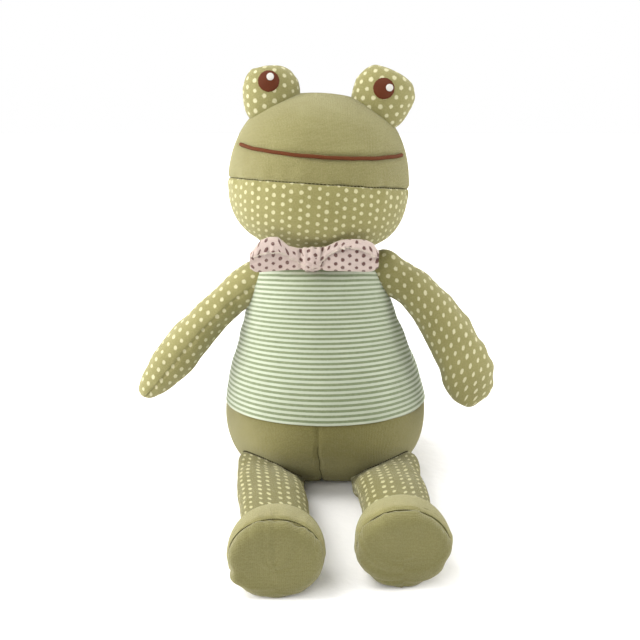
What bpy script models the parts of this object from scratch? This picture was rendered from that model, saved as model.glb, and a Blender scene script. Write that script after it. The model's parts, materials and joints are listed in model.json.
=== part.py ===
"""A stuffed plush frog that sits with its legs forward, modelled as it is sewn.

Metres, +Z up, the face looks along -Y. The origin is the middle of the flat seat.
Left and right are those of someone who looks the frog in the face: left is -X.
"""

import math

import bmesh
import bpy
from mathutils import Matrix, Vector
from mathutils.bvhtree import BVHTree

# Cloth and clearances
CLOTH = 0.0009
SEAM_GAP = 0.0003
FILL_GAP = 0.0008
JOINT_GAP = 0.0005
OVERRUN = 0.2
FLAT_CUT = 0.0005

# Torso
TORSO_HEIGHT = 0.1430
TORSO_WIDTH = 0.1325
TORSO_DEPTH = 0.126
TORSO_LEAN = 0.004
# height, width, depth and sideways lean of each ring
TORSO_SHARES = (
    (0.0, 0.62, 0.60, 0.0),
    (0.03, 0.83, 0.76, 0.0),
    (0.137, 0.97, 0.93, 0.0),
    (0.275, 1.0, 1.0, 0.0),
    (0.443, 0.93, 0.95, 0.2),
    (0.612, 0.79, 0.82, 0.7),
    (0.781, 0.685, 0.71, 1.0),
    (0.915, 0.60, 0.69, 1.0),
    (0.985, 0.48, 0.63, 1.0),
    (1.0, 0.28, 0.36, 1.0),
)
HEM_HEIGHT = 0.0445
HEM_TILT = math.radians(6.5)

# Head
HEAD_WIDTH = 0.1100
HEAD_DEPTH = 0.0960
HEAD_HEIGHT = 0.0960
HEAD_RISE = 0.0456
HEAD_SETBACK = 0.002
HEAD_RECLINE = math.radians(11.5)
HEAD_ROLL = math.radians(3.8)
# height from the middle and width of each ring, of the half sizes
HEAD_SHARES = (
    (-1.0, 0.28),
    (-0.93, 0.60),
    (-0.72, 0.89),
    (-0.36, 1.01),
    (0.02, 1.01),
    (0.38, 0.94),
    (0.70, 0.80),
    (0.93, 0.52),
    (1.0, 0.24),
)
CROWN_SEAM_SHARE = -0.125
CROWN_SEAM_TILT = math.radians(1.0)
MOUTH_SHARE = 0.305
MOUTH_SAG = 0.0042
MOUTH_REACH_SHARE = 0.80
MOUTH_CORD = 0.0016
MOUTH_POINTS = 25

# Eyes
EYE_WIDTH_LEFT = 0.0345
EYE_WIDTH_RIGHT = 0.0370
EYE_HEIGHT = 0.0350
EYE_DEPTH = 0.0250
EYE_SPAN_LEFT_SHARE = 0.289
EYE_SPAN_RIGHT_SHARE = 0.316
EYE_RISE_LEFT_SHARE = 0.469
EYE_RISE_RIGHT_SHARE = 0.495
EYE_FORWARD_SHARE = 0.0625
EYE_SPLAY_LEFT = math.radians(-4.0)
EYE_SPLAY_RIGHT = math.radians(22.0)
EYE_SHARES = ((-1.0, 0.50), (-0.70, 0.90), (0.0, 1.04), (0.60, 0.84), (1.0, 0.38))
IRIS_WIDTH = 0.0128
IRIS_THICKNESS = 0.0009
IRIS_RISE_LEFT = 0.0080
IRIS_RISE_RIGHT = 0.0052
IRIS_SHIFT_LEFT = -0.0016
IRIS_SHIFT_RIGHT = -0.0020
GLINT_WIDTH = 0.0042
GLINT_THICKNESS = 0.0006
GLINT_RISE_LEFT = 0.0030
GLINT_SHIFT_LEFT = 0.0010
GLINT_RISE_RIGHT = 0.0018
GLINT_SHIFT_RIGHT = 0.0028

# Neck
NECK_BALL_WIDTH = 0.034
NECK_STEM_WIDTH = 0.026
NECK_STEM_DEPTH = 0.022
NECK_HEIGHT_SHARE = 1.035
NECK_SETBACK = 0.002

# Arms: outward, forward, up, width and thickness of each ring, of the arm's sizes
ARM_LENGTH = 0.100
ARM_WIDTH = 0.0250
ARM_THICKNESS = 0.0260
SHOULDER_HEIGHT_LEFT_SHARE = 0.882
SHOULDER_HEIGHT_RIGHT_SHARE = 0.913
SHOULDER_OUT_SHARE = 0.90
ARM_OPENING_SHARE = 0.36
ARM_LEFT_SHARES = (
    (-0.100, 0.0, 0.080, 0.28, 0.28),
    (-0.072, 0.0, 0.058, 0.68, 0.68),
    (-0.010, 0.0, 0.010, 0.98, 0.98),
    (0.120, -0.03, -0.052, 0.89, 0.92),
    (0.270, -0.06, -0.188, 0.88, 0.92),
    (0.411, -0.10, -0.318, 0.98, 1.02),
    (0.545, -0.15, -0.475, 1.03, 1.06),
    (0.668, -0.19, -0.622, 0.84, 0.86),
    (0.740, -0.21, -0.708, 0.42, 0.44),
)
ARM_RIGHT_SHARES = (
    (-0.125, 0.0, 0.050, 0.28, 0.28),
    (-0.090, 0.0, 0.038, 0.68, 0.68),
    (-0.015, 0.0, 0.012, 0.98, 0.98),
    (0.125, -0.02, -0.014, 0.96, 0.94),
    (0.272, -0.06, -0.119, 1.03, 0.98),
    (0.402, -0.11, -0.275, 1.20, 1.0),
    (0.520, -0.15, -0.450, 1.28, 0.98),
    (0.592, -0.19, -0.640, 1.40, 0.92),
    (0.605, -0.21, -0.775, 1.06, 0.70),
    (0.597, -0.22, -0.828, 0.52, 0.38),
)

# Legs: forward, up, width and thickness of each ring
LEG_WIDTH = 0.0400
LEG_THICKNESS = 0.0320
LEG_LENGTH_LEFT = 0.088
LEG_LENGTH_RIGHT = 0.078
LEG_RISE = 0.0105
HIP_HEIGHT = 0.0135
HIP_FORWARD_SHARE = 0.895
HIP_SPAN_LEFT = 0.0345
HIP_SPAN_RIGHT = 0.0390
ANKLE_SHIFT_LEFT = 0.0070
ANKLE_SHIFT_RIGHT = 0.0030
LEG_OPENING_SHARE = 0.45
# reach beyond the joint and size of each ring of a leg's round ends, of half its thickness and width
LEG_END_SHARES = ((1.0, 0.34), (0.76, 0.68))
LEG_SHARES = (
    (0.0, 0.99, 0.72),
    (0.250, 1.0, 0.86),
    (0.560, 1.0, 1.04),
    (0.840, 0.93, 1.02),
    (1.0, 0.94, 1.0),
)

# Feet: distance behind the sole, width and height of each ring
FOOT_WIDTH = 0.0512
FOOT_HEIGHT = 0.0452
FOOT_LENGTH = 0.0330
FOOT_SHARES = (
    (0.0, 0.60),
    (0.0, 0.94),
    (0.16, 1.02),
    (0.52, 1.03),
    (0.86, 0.92),
    (1.0, 0.80),
)
ANKLE_DEPTH_SHARE = 0.80
SOLE_SHARE = 0.24
FOOT_OPENING_SHARE = 0.94

# Bow
BOW_HEIGHT_SHARE = 1.082
BOW_FORWARD = 0.0062
BOW_SEAT_SHARE = 0.94
BOW_LEFT_REACH = 0.0365
BOW_RIGHT_REACH = 0.0395
BOW_LOOP_HEIGHT = 0.0215
BOW_LOOP_THICKNESS = 0.0075
KNOT_WIDTH = 0.0112
KNOT_HEIGHT = 0.0150
KNOT_THICKNESS = 0.0120
KNOT_DROP = 0.0030
BOW_SHIFT = -0.0086
# outward place, height and thickness of each ring of a loop
BOW_SHARES = (
    (0.0, 0.36, 0.60),
    (0.12, 0.42, 0.72),
    (0.42, 0.92, 1.05),
    (0.76, 1.03, 1.0),
    (0.96, 0.86, 0.70),
    (1.0, 0.50, 0.36),
)
# height, width, depth and setback of each ring of the knot
KNOT_SHARES = (
    (-1.72, 0.62, 0.90, 0.84),
    (-0.86, 0.95, 1.20, 0.48),
    (0.10, 0.92, 0.86, 0.08),
    (0.66, 0.98, 0.66, 0.0),
    (1.0, 0.58, 0.40, 0.0),
)

# Motion limits that the cuts for the limbs follow
ARM_LIFT_LEFT = math.radians(80)
ARM_LIFT_RIGHT = math.radians(60)
ARM_DROP = math.radians(8)
LEG_LIFT = math.radians(30)
LEG_DROP = math.radians(65)
ANKLE_FLEX = math.radians(12)
HEAD_TIP_BACK = math.radians(15)
HEAD_TURN = math.radians(25)

# Rings
TORSO_SIDES = 12
HEAD_SIDES = 12
LIMB_SIDES = 6
FOOT_SIDES = 8
EYE_SIDES = 6
BALL_SEGMENTS = 16
SOCKET_SEGMENTS = 24
DISC_SEGMENTS = 16
CORD_ROUNDING = 1

COLOURS = {
    "plain_green": (0.36, 0.33, 0.15),
    "dotted_green": (0.42, 0.39, 0.19),
    "striped_cotton": (0.50, 0.56, 0.42),
    "bow_cotton": (0.72, 0.60, 0.54),
    "brown_thread": (0.20, 0.05, 0.025),
    "iris_brown": (0.16, 0.045, 0.025),
    "white_thread": (0.85, 0.84, 0.80),
    "filling": (0.88, 0.87, 0.83),
}
ROUGHNESS = 0.85
SHARP_ANGLE = math.radians(40)

X_AXIS = Vector((1, 0, 0))
Y_AXIS = Vector((0, 1, 0))
Z_AXIS = Vector((0, 0, 1))


def clear_scene():
    for item in list(bpy.data.objects):
        bpy.data.objects.remove(item)


def new_collection(name):
    collection = bpy.data.collections.new(name)
    bpy.context.scene.collection.children.link(collection)
    return collection


def cloth_material(name):
    """A Principled material in one of the toy's colours."""
    found = bpy.data.materials.get(name)
    if found:
        return found
    made = bpy.data.materials.new(name)
    made.use_nodes = True
    shader = made.node_tree.nodes["Principled BSDF"]
    shader.inputs["Base Color"].default_value = (*COLOURS[name], 1)
    shader.inputs["Roughness"].default_value = ROUGHNESS
    shader.inputs["Metallic"].default_value = 0
    return made


def swell(sides):
    """How far a cage of this many sides stands outside the softened ring it makes."""
    return 4 / (3 + math.cos(2 * math.pi / sides))


def ring(centre, across, along, half_across, half_along, sides):
    """Cage points of one oval ring."""
    grown = swell(sides)
    points = []
    for step in range(sides):
        angle = 2 * math.pi * step / sides
        side = across * half_across * grown * math.cos(angle)
        points.append(centre + side + along * half_along * grown * math.sin(angle))
    return points


def soft_form(name, rings):
    """The smooth closed mesh of a coarse cage: rings of equal count, capped at both ends."""
    cage = bmesh.new()
    rows = [[cage.verts.new(point) for point in points] for points in rings]
    for low, high in zip(rows, rows[1:]):
        for step in range(len(low)):
            after = (step + 1) % len(low)
            cage.faces.new((low[step], low[after], high[after], high[step]))
    cage.faces.new(rows[0])
    cage.faces.new(rows[-1])
    bmesh.ops.recalc_face_normals(cage, faces=cage.faces)
    mesh = bpy.data.meshes.new(name)
    cage.to_mesh(mesh)
    cage.free()
    holder = bpy.data.objects.new(name, mesh)
    cutters.objects.link(holder)
    smooth = holder.modifiers.new("soft", "SUBSURF")
    smooth.levels = 1
    smooth.render_levels = 1
    result = evaluated_mesh(holder)
    bpy.data.objects.remove(holder)
    return result


def evaluated_mesh(item):
    graph = bpy.context.evaluated_depsgraph_get()
    graph.update()
    return bpy.data.meshes.new_from_object(item.evaluated_get(graph))


def add_object(name, mesh, material):
    item = bpy.data.objects.new(name, mesh)
    frog.objects.link(item)
    mesh.materials.clear()
    mesh.materials.append(cloth_material(material))
    mesh.shade_smooth()
    mesh.set_sharp_from_angle(angle=SHARP_ANGLE)
    return item


def add_helper(name, mesh):
    item = bpy.data.objects.new(name, mesh)
    item.hide_render = True
    item.display_type = "WIRE"
    cutters.objects.link(item)
    return item


def trimmed(name, source, planes, fill=False):
    """A copy of a mesh without what lies ahead of each plane, given as (point, normal)."""
    work = bmesh.new()
    work.from_mesh(source)
    for point, normal in planes:
        everything = work.verts[:] + work.edges[:] + work.faces[:]
        bmesh.ops.bisect_plane(
            work, geom=everything, plane_co=point, plane_no=normal, clear_outer=True
        )
        if fill:
            rim = [edge for edge in work.edges if edge.is_boundary]
            bmesh.ops.holes_fill(work, edges=rim, sides=0)
    bmesh.ops.triangulate(work, faces=[face for face in work.faces if len(face.verts) > 4])
    bmesh.ops.recalc_face_normals(work, faces=work.faces)
    mesh = bpy.data.meshes.new(name)
    work.to_mesh(mesh)
    work.free()
    return mesh


def skin(name, form, planes, material, thickness=CLOTH):
    """A panel of cloth: the part of a form behind the planes, thickened inwards."""
    item = add_object(name, trimmed(name, form, planes), material)
    wall = item.modifiers.new("cloth", "SOLIDIFY")
    wall.thickness = thickness
    wall.offset = -1
    return item


def displaced(name, form, distance, coarse=False):
    """A form's mesh moved along its normals, and put back to its cage's faces if coarse."""
    holder = bpy.data.objects.new(name, form.copy())
    cutters.objects.link(holder)
    push = holder.modifiers.new("push", "DISPLACE")
    push.strength = distance
    push.mid_level = 0
    if coarse:
        merge = holder.modifiers.new("coarse", "DECIMATE")
        merge.decimate_type = "UNSUBDIV"
        merge.iterations = 2
    result = evaluated_mesh(holder)
    bpy.data.objects.remove(holder)
    return result


def filling(name, form, planes=(), coarse=True):
    """The stuffing inside a form, clear of its cloth, with the cage's larger faces if coarse."""
    gap = FILL_GAP if coarse else SEAM_GAP
    inner = displaced(name, form, -CLOTH - gap, coarse)
    return add_object(name, trimmed(name, inner, planes, fill=True), "filling")


def cut(item, *tools, solver="EXACT"):
    for tool in tools:
        step = item.modifiers.new("cut " + tool.name, "BOOLEAN")
        step.operation = "DIFFERENCE"
        step.solver = solver
        step.object = tool


def keep_inside(item, tool):
    step = item.modifiers.new("inside " + tool.name, "BOOLEAN")
    step.operation = "INTERSECT"
    step.object = tool


def ball_helper(name, centre, axis, half_x, half_y, half_z, segments):
    """A ball with its poles on a joint's axis, so that a limb's root turns clear of its facets."""
    work = bmesh.new()
    grown = 1 / math.cos(math.pi / segments)
    bmesh.ops.create_uvsphere(work, u_segments=segments, v_segments=segments // 2, radius=grown)
    spin = Z_AXIS.rotation_difference(axis).to_matrix().to_4x4()
    size = Matrix.Diagonal((half_x, half_y, half_z, 1))
    place = Matrix.Translation(centre) @ size @ spin
    bmesh.ops.transform(work, matrix=place, verts=work.verts)
    mesh = bpy.data.meshes.new(name)
    work.to_mesh(mesh)
    work.free()
    return add_helper(name, mesh)


def turned(mesh, name, pivot, axis, angle):
    """A copy of a mesh turned about a joint."""
    copy = mesh.copy()
    copy.name = name
    spin = Matrix.Translation(pivot) @ Matrix.Rotation(angle, 4, axis) @ Matrix.Translation(-pivot)
    copy.transform(spin)
    return copy


def empty(name, place, parent=None):
    """An empty on a joint's axis, which carries what moves with the joint."""
    item = bpy.data.objects.new(name, None)
    frog.objects.link(item)
    item.empty_display_size = ARM_THICKNESS
    item.location = place
    if parent:
        carry(parent, item)
    bpy.context.view_layer.update()
    return item


def carry(parent, *items):
    """Parents items where they stand."""
    bpy.context.view_layer.update()
    for item in items:
        item.parent = parent
        item.matrix_parent_inverse = parent.matrix_world.inverted()


def surface_hit(tree, start, direction):
    """The point and normal where a ray first meets a form."""
    point, normal, _, _ = tree.ray_cast(start, direction)
    return point, normal


def tree_of(mesh):
    return BVHTree.FromPolygons(
        [vertex.co for vertex in mesh.vertices], [face.vertices[:] for face in mesh.polygons]
    )


def torso_half_width(height_share):
    """Half the torso's width at a share of its height, between its rings."""
    for low, high in zip(TORSO_SHARES, TORSO_SHARES[1:]):
        if low[0] <= height_share <= high[0]:
            part = (height_share - low[0]) / (high[0] - low[0])
            return TORSO_WIDTH / 2 * (low[1] + (high[1] - low[1]) * part)
    return 0


def make_torso():
    """The pear-shaped form that the shirt, hips, seat and stuffing share."""
    rings = []
    for height, width, depth, lean in TORSO_SHARES:
        centre = Vector((-TORSO_LEAN * lean, 0, -FLAT_CUT + height * TORSO_HEIGHT))
        half_x = width * TORSO_WIDTH / 2
        half_y = depth * TORSO_DEPTH / 2
        rings.append(ring(centre, X_AXIS, Y_AXIS, half_x, half_y, TORSO_SIDES))
    form = soft_form("torso_form", rings)
    tilt = Matrix.Rotation(-HEM_TILT, 3, "X")
    hem_up = tilt @ Z_AXIS
    hem = Z_AXIS * HEM_HEIGHT
    half_gap = SEAM_GAP / 2
    above_hem = (hem + hem_up * half_gap, -hem_up)
    below_hem = (hem - hem_up * half_gap, hem_up)
    above_seat = (Z_AXIS * (CLOTH + SEAM_GAP), -Z_AXIS)
    shirt_front = skin(
        "shirt_front", form, [above_hem, (Y_AXIS * -half_gap, Y_AXIS)], "striped_cotton"
    )
    shirt_back = skin(
        "shirt_back", form, [above_hem, (Y_AXIS * half_gap, -Y_AXIS)], "striped_cotton"
    )
    hips = [
        skin("hip_left", form, [below_hem, above_seat, (X_AXIS * -half_gap, X_AXIS)], "plain_green"),
        skin("hip_right", form, [below_hem, above_seat, (X_AXIS * half_gap, -X_AXIS)], "plain_green"),
    ]
    seat_mesh = trimmed(
        "seat_base", form, [(Vector(), -Z_AXIS), (Z_AXIS * CLOTH, Z_AXIS)], fill=True
    )
    seat = add_object("seat_base", seat_mesh, "plain_green")
    stuffing = filling("body_stuffing", form, [above_seat])
    return form, [shirt_front, shirt_back], hips, seat, stuffing


def head_frame():
    """The head's middle and its own axes, after its recline and roll."""
    middle = neck_point() + Vector((0, HEAD_SETBACK - NECK_SETBACK, HEAD_RISE))
    turn = Matrix.Rotation(HEAD_ROLL, 3, "Y") @ Matrix.Rotation(-HEAD_RECLINE, 3, "X")
    return middle, turn


def neck_point():
    height = NECK_HEIGHT_SHARE * TORSO_HEIGHT
    return Vector((-TORSO_LEAN, NECK_SETBACK, height))


def make_head():
    """The round head form with its crown, jaw and stuffing."""
    middle, turn = head_frame()
    rings = []
    for height, width in HEAD_SHARES:
        centre = middle + turn @ (Z_AXIS * height * HEAD_HEIGHT / 2)
        half_x = width * HEAD_WIDTH / 2
        half_y = width * HEAD_DEPTH / 2
        rings.append(ring(centre, turn @ X_AXIS, turn @ Y_AXIS, half_x, half_y, HEAD_SIDES))
    form = soft_form("head_form", rings)
    seam_turn = turn @ Matrix.Rotation(-CROWN_SEAM_TILT, 3, "X")
    seam_up = seam_turn @ Z_AXIS
    seam = middle + turn @ (Z_AXIS * CROWN_SEAM_SHARE * HEAD_HEIGHT / 2)
    half_gap = SEAM_GAP / 2
    crown = skin("crown", form, [(seam + seam_up * half_gap, -seam_up)], "plain_green")
    jaw = skin("jaw", form, [(seam - seam_up * half_gap, seam_up)], "dotted_green")
    stuffing = filling("head_stuffing", form)
    return form, crown, jaw, stuffing


def make_mouth(form):
    """A stitched cord that follows the front of the crown."""
    middle, turn = head_frame()
    tree = tree_of(form)
    reach = MOUTH_REACH_SHARE * math.pi / 2
    stand_off = MOUTH_CORD / 2 + SEAM_GAP
    points = []
    for step in range(MOUTH_POINTS):
        share = 2 * step / (MOUTH_POINTS - 1) - 1
        angle = share * reach
        sag = MOUTH_SAG * (1 - share * share)
        height = MOUTH_SHARE * HEAD_HEIGHT / 2 - sag
        outward = turn @ Vector((math.sin(angle), -math.cos(angle), 0))
        inside = middle + turn @ (Z_AXIS * height)
        hit, normal = surface_hit(tree, inside, outward)
        points.append(hit + normal * stand_off)
    curve = bpy.data.curves.new("mouth_cord", "CURVE")
    curve.dimensions = "3D"
    curve.bevel_depth = MOUTH_CORD / 2
    curve.bevel_resolution = CORD_ROUNDING
    curve.use_fill_caps = True
    spline = curve.splines.new("POLY")
    spline.points.add(len(points) - 1)
    for knot, place in zip(spline.points, points):
        knot.co = (*place, 1)
    curve.materials.append(cloth_material("brown_thread"))
    cord = bpy.data.objects.new("mouth_cord", curve)
    frog.objects.link(cord)
    return cord


def make_eye(side, place_shares, splay, width_of_eye, iris_at, glint_at, head_cutter):
    """A stuffed mound on the crown, with its embroidered iris and glint."""
    middle, turn = head_frame()
    own = turn @ Matrix.Rotation(splay, 3, "Y")
    span, forward, rise = place_shares
    centre = middle + turn @ Vector((span * HEAD_WIDTH, forward * HEAD_DEPTH, rise * HEAD_HEIGHT))
    rings = []
    for height, width in EYE_SHARES:
        place = centre + own @ (Z_AXIS * height * EYE_HEIGHT / 2)
        half_x = width * width_of_eye / 2
        half_y = width * EYE_DEPTH / 2
        rings.append(ring(place, own @ X_AXIS, own @ Y_AXIS, half_x, half_y, EYE_SIDES))
    form = soft_form(f"eye_form_{side}", rings)
    mound = skin(f"eye_mound_{side}", form, [], "dotted_green")
    stuffing = filling(f"eye_stuffing_{side}", form)
    cut(mound, head_cutter)
    cut(stuffing, head_cutter)
    iris_place = centre + own @ Vector(iris_at)
    iris = patch(
        f"iris_{side}", form, iris_place, own, IRIS_WIDTH, SEAM_GAP, IRIS_THICKNESS, "iris_brown"
    )
    glint_place = iris_place + own @ Vector(glint_at)
    glint_seat = SEAM_GAP + IRIS_THICKNESS + SEAM_GAP
    glint = patch(
        f"glint_{side}", form, glint_place, own, GLINT_WIDTH, glint_seat, GLINT_THICKNESS,
        "white_thread",
    )
    return [mound, stuffing, iris, glint]


def patch(name, form, place, own, width, seat, thickness, material):
    """A thin round patch that follows a form's front at a set height above it."""
    outer = displaced(name, form, seat + thickness)
    item = skin(name, outer, [(place, own @ Y_AXIS)], material, thickness)
    work = bmesh.new()
    front = own @ Matrix.Rotation(math.pi / 2, 3, "X")
    bmesh.ops.create_cone(
        work, cap_ends=True, segments=DISC_SEGMENTS, radius1=width / 2, radius2=width / 2,
        depth=EYE_DEPTH,
    )
    shift = Matrix.Translation(place - own @ Y_AXIS * EYE_DEPTH / 2)
    bmesh.ops.transform(work, matrix=shift @ front.to_4x4(), verts=work.verts)
    mesh = bpy.data.meshes.new(name + "_outline")
    work.to_mesh(mesh)
    work.free()
    keep_inside(item, add_helper(name + "_outline", mesh))
    return item


def make_neck():
    """The firm stuffing between head and torso: a ball on a round stem."""
    pivot = neck_point()
    ball = NECK_BALL_WIDTH / 2
    stem = NECK_STEM_WIDTH / 2
    meet = math.asin(stem / ball)
    steps = BALL_SEGMENTS // 3
    profile = []
    for step in range(steps + 1):
        angle = (math.pi - meet) * step / steps
        profile.append((ball * math.sin(angle), ball * math.cos(angle)))
    profile.append((stem, -NECK_STEM_DEPTH))
    profile.append((0, -NECK_STEM_DEPTH))
    mesh = bpy.data.meshes.new("neck_stuffing")
    points = [(radius, 0, height) for radius, height in profile]
    edges = [(step, step + 1) for step in range(len(points) - 1)]
    mesh.from_pydata(points, edges, [])
    item = bpy.data.objects.new("neck_stuffing", mesh)
    frog.objects.link(item)
    mesh.materials.append(cloth_material("filling"))
    spin = item.modifiers.new("turn", "SCREW")
    spin.steps = BALL_SEGMENTS
    spin.render_steps = BALL_SEGMENTS
    spin.use_merge_vertices = True
    spin.merge_threshold = 0.00001
    item.location = pivot
    socket = ball_helper("neck_socket", pivot, Z_AXIS, *[ball + SEAM_GAP] * 3, BALL_SEGMENTS)
    return item, socket


def neck_bore():
    """The round hole for the neck's stem in the torso stuffing."""
    pivot = neck_point()
    work = bmesh.new()
    radius = NECK_STEM_WIDTH / 2 + SEAM_GAP
    length = NECK_STEM_DEPTH + SEAM_GAP
    bmesh.ops.create_cone(
        work, cap_ends=True, segments=BALL_SEGMENTS, radius1=radius, radius2=radius, depth=length
    )
    middle = pivot - Z_AXIS * length / 2
    bmesh.ops.transform(work, matrix=Matrix.Translation(middle), verts=work.verts)
    mesh = bpy.data.meshes.new("neck_bore")
    work.to_mesh(mesh)
    work.free()
    return add_helper("neck_bore", mesh)


def root_reach(form, pivot, half, inward, opening):
    """How far the cloth at a limb's root reaches from its joint, in units of the half sizes."""
    most = 0
    for vertex in form.vertices:
        away = vertex.co - pivot
        if 0 < away.dot(inward) <= opening:
            scaled = Vector([away[i] / half[i] for i in range(3)])
            most = max(most, scaled.length)
    return most


def clearance_tools(name, form, pivot, axis, angles, half, inward, opening):
    """The cutters that clear a limb in its body: its root's ball and the limb at its limits."""
    reach = root_reach(form, pivot, half, inward, opening)
    sizes = [size * reach + SEAM_GAP for size in half]
    tools = [ball_helper(name + "_socket", pivot, axis, *sizes, SOCKET_SEGMENTS)]
    grown = displaced(name + "_room", form, JOINT_GAP)
    for number, angle in enumerate(angles):
        mesh = turned(grown, f"{name}_room_{number}", pivot, axis, angle)
        tools.append(add_helper(mesh.name, mesh))
    return tools


def make_arm(side, shares):
    """A stuffed arm that swings at the shoulder."""
    direction = -1 if side == "left" else 1
    height_share = SHOULDER_HEIGHT_LEFT_SHARE if side == "left" else SHOULDER_HEIGHT_RIGHT_SHARE
    half_width = torso_half_width(height_share) * SHOULDER_OUT_SHARE
    height = height_share * TORSO_HEIGHT
    pivot = Vector((direction * half_width - TORSO_LEAN, 0, height))
    places = []
    for out, forward, up, _, _ in shares:
        places.append(pivot + ARM_LENGTH * Vector((direction * out, forward, up)))
    rings = []
    for number, (place, share) in enumerate(zip(places, shares)):
        before = places[max(number - 1, 0)]
        after = places[min(number + 1, len(places) - 1)]
        along = (after - before).normalized()
        thick = along.cross(X_AXIS * direction).cross(along).normalized()
        flat = along.cross(thick)
        thickness = share[3] * ARM_WIDTH / 2
        depth = share[4] * ARM_THICKNESS / 2
        rings.append(ring(place, thick, flat, thickness, depth, LIMB_SIDES))
    form = soft_form(f"arm_form_{side}", rings)
    inward = (places[0] - pivot).normalized()
    half = (ARM_THICKNESS / 2,) * 3
    lift = ARM_LIFT_LEFT if side == "left" else ARM_LIFT_RIGHT
    angles = [0, -direction * lift, direction * ARM_DROP]
    opening = ARM_WIDTH * ARM_OPENING_SHARE
    tools = clearance_tools(f"arm_{side}", form, pivot, Y_AXIS, angles, half, inward, opening)
    cloth = skin(f"arm_{side}", form, [(pivot + inward * opening, inward)], "dotted_green")
    stuffing = filling(f"arm_stuffing_{side}", form)
    return pivot, tools, [cloth, stuffing]


def hip_point(side):
    span = -HIP_SPAN_LEFT if side == "left" else HIP_SPAN_RIGHT
    return Vector((span, -HIP_FORWARD_SHARE * TORSO_DEPTH / 2, HIP_HEIGHT))


def ankle_point(side):
    if side == "left":
        return hip_point(side) + Vector((ANKLE_SHIFT_LEFT, -LEG_LENGTH_LEFT, LEG_RISE))
    return hip_point(side) + Vector((ANKLE_SHIFT_RIGHT, -LEG_LENGTH_RIGHT, LEG_RISE))


def make_leg(side):
    """A stuffed leg that lifts at the hip and carries the foot at its ankle."""
    hip = hip_point(side)
    ankle = ankle_point(side)
    along = ankle - hip
    direction = along.normalized()
    places = []
    for reach, size in LEG_END_SHARES:
        place = hip - direction * reach * LEG_THICKNESS / 2
        places.append((place, size, size * LEG_SHARES[0][2]))
    places += [(hip + along * distance, *size) for distance, *size in LEG_SHARES]
    for reach, size in reversed(LEG_END_SHARES):
        place = ankle + direction * reach * LEG_THICKNESS / 2
        places.append((place, size, size * LEG_SHARES[-1][2]))
    rings = []
    for place, width, thickness in places:
        half_x = width * LEG_WIDTH / 2
        half_z = thickness * LEG_THICKNESS / 2
        rings.append(ring(place, X_AXIS, Z_AXIS, half_x, half_z, LIMB_SIDES))
    form = soft_form(f"leg_form_{side}", rings)
    half = (LEG_WIDTH / 2, LEG_THICKNESS / 2, LEG_THICKNESS / 2)
    angles = [0, -LEG_LIFT, LEG_DROP]
    opening = LEG_THICKNESS * LEG_OPENING_SHARE
    hip_tools = clearance_tools(f"leg_{side}", form, hip, X_AXIS, angles, half, -direction, opening)
    flex = [0, ANKLE_FLEX, -ANKLE_FLEX]
    ankle_tools = clearance_tools(f"ankle_{side}", form, ankle, X_AXIS, flex, half, direction, opening)
    openings = [
        (hip - direction * opening, -direction),
        (ankle + direction * opening, direction),
    ]
    cloth = skin(f"leg_{side}", form, openings, "dotted_green")
    stuffing = filling(f"leg_stuffing_{side}", form)
    return hip, ankle, hip_tools, ankle_tools, [cloth, stuffing]


def make_foot(side, ankle, ankle_tools):
    """A foot with an upper, a round sole and stuffing, hollow where the leg's end sits."""
    lowest = FOOT_HEIGHT / 2 - FLAT_CUT
    sole = Vector((ankle.x, ankle.y - ANKLE_DEPTH_SHARE * FOOT_LENGTH, lowest))
    rings = []
    for distance, size in FOOT_SHARES:
        place = sole + Y_AXIS * distance * FOOT_LENGTH
        half_x = size * FOOT_WIDTH / 2
        half_z = size * FOOT_HEIGHT / 2
        rings.append(ring(place, X_AXIS, Z_AXIS, half_x, half_z, FOOT_SIDES))
    form = soft_form(f"foot_form_{side}", rings)
    seam = sole + Y_AXIS * SOLE_SHARE * FOOT_LENGTH
    half_gap = SEAM_GAP / 2
    back = sole + Y_AXIS * FOOT_LENGTH * FOOT_OPENING_SHARE
    upper = skin(
        f"foot_upper_{side}", form, [(seam + Y_AXIS * half_gap, -Y_AXIS), (back, Y_AXIS)],
        "plain_green",
    )
    pad = skin(f"foot_sole_{side}", form, [(seam - Y_AXIS * half_gap, Y_AXIS)], "plain_green")
    stuffing = filling(f"foot_stuffing_{side}", form, [(back, Y_AXIS)], coarse=False)
    for item in (upper, pad, stuffing):
        cut(item, *ankle_tools, solver="MANIFOLD")
    for item in (upper, pad):
        cut(item, floor_helper)
    return [upper, pad, stuffing]


def make_floor_helper():
    """A slab that cuts the feet flat where they stand."""
    work = bmesh.new()
    bmesh.ops.create_cube(work, size=2 * OVERRUN)
    down = Matrix.Translation(Vector((0, -OVERRUN, -OVERRUN)))
    bmesh.ops.transform(work, matrix=down, verts=work.verts)
    mesh = bpy.data.meshes.new("floor_cut")
    work.to_mesh(mesh)
    work.free()
    return add_helper("floor_cut", mesh)


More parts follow.
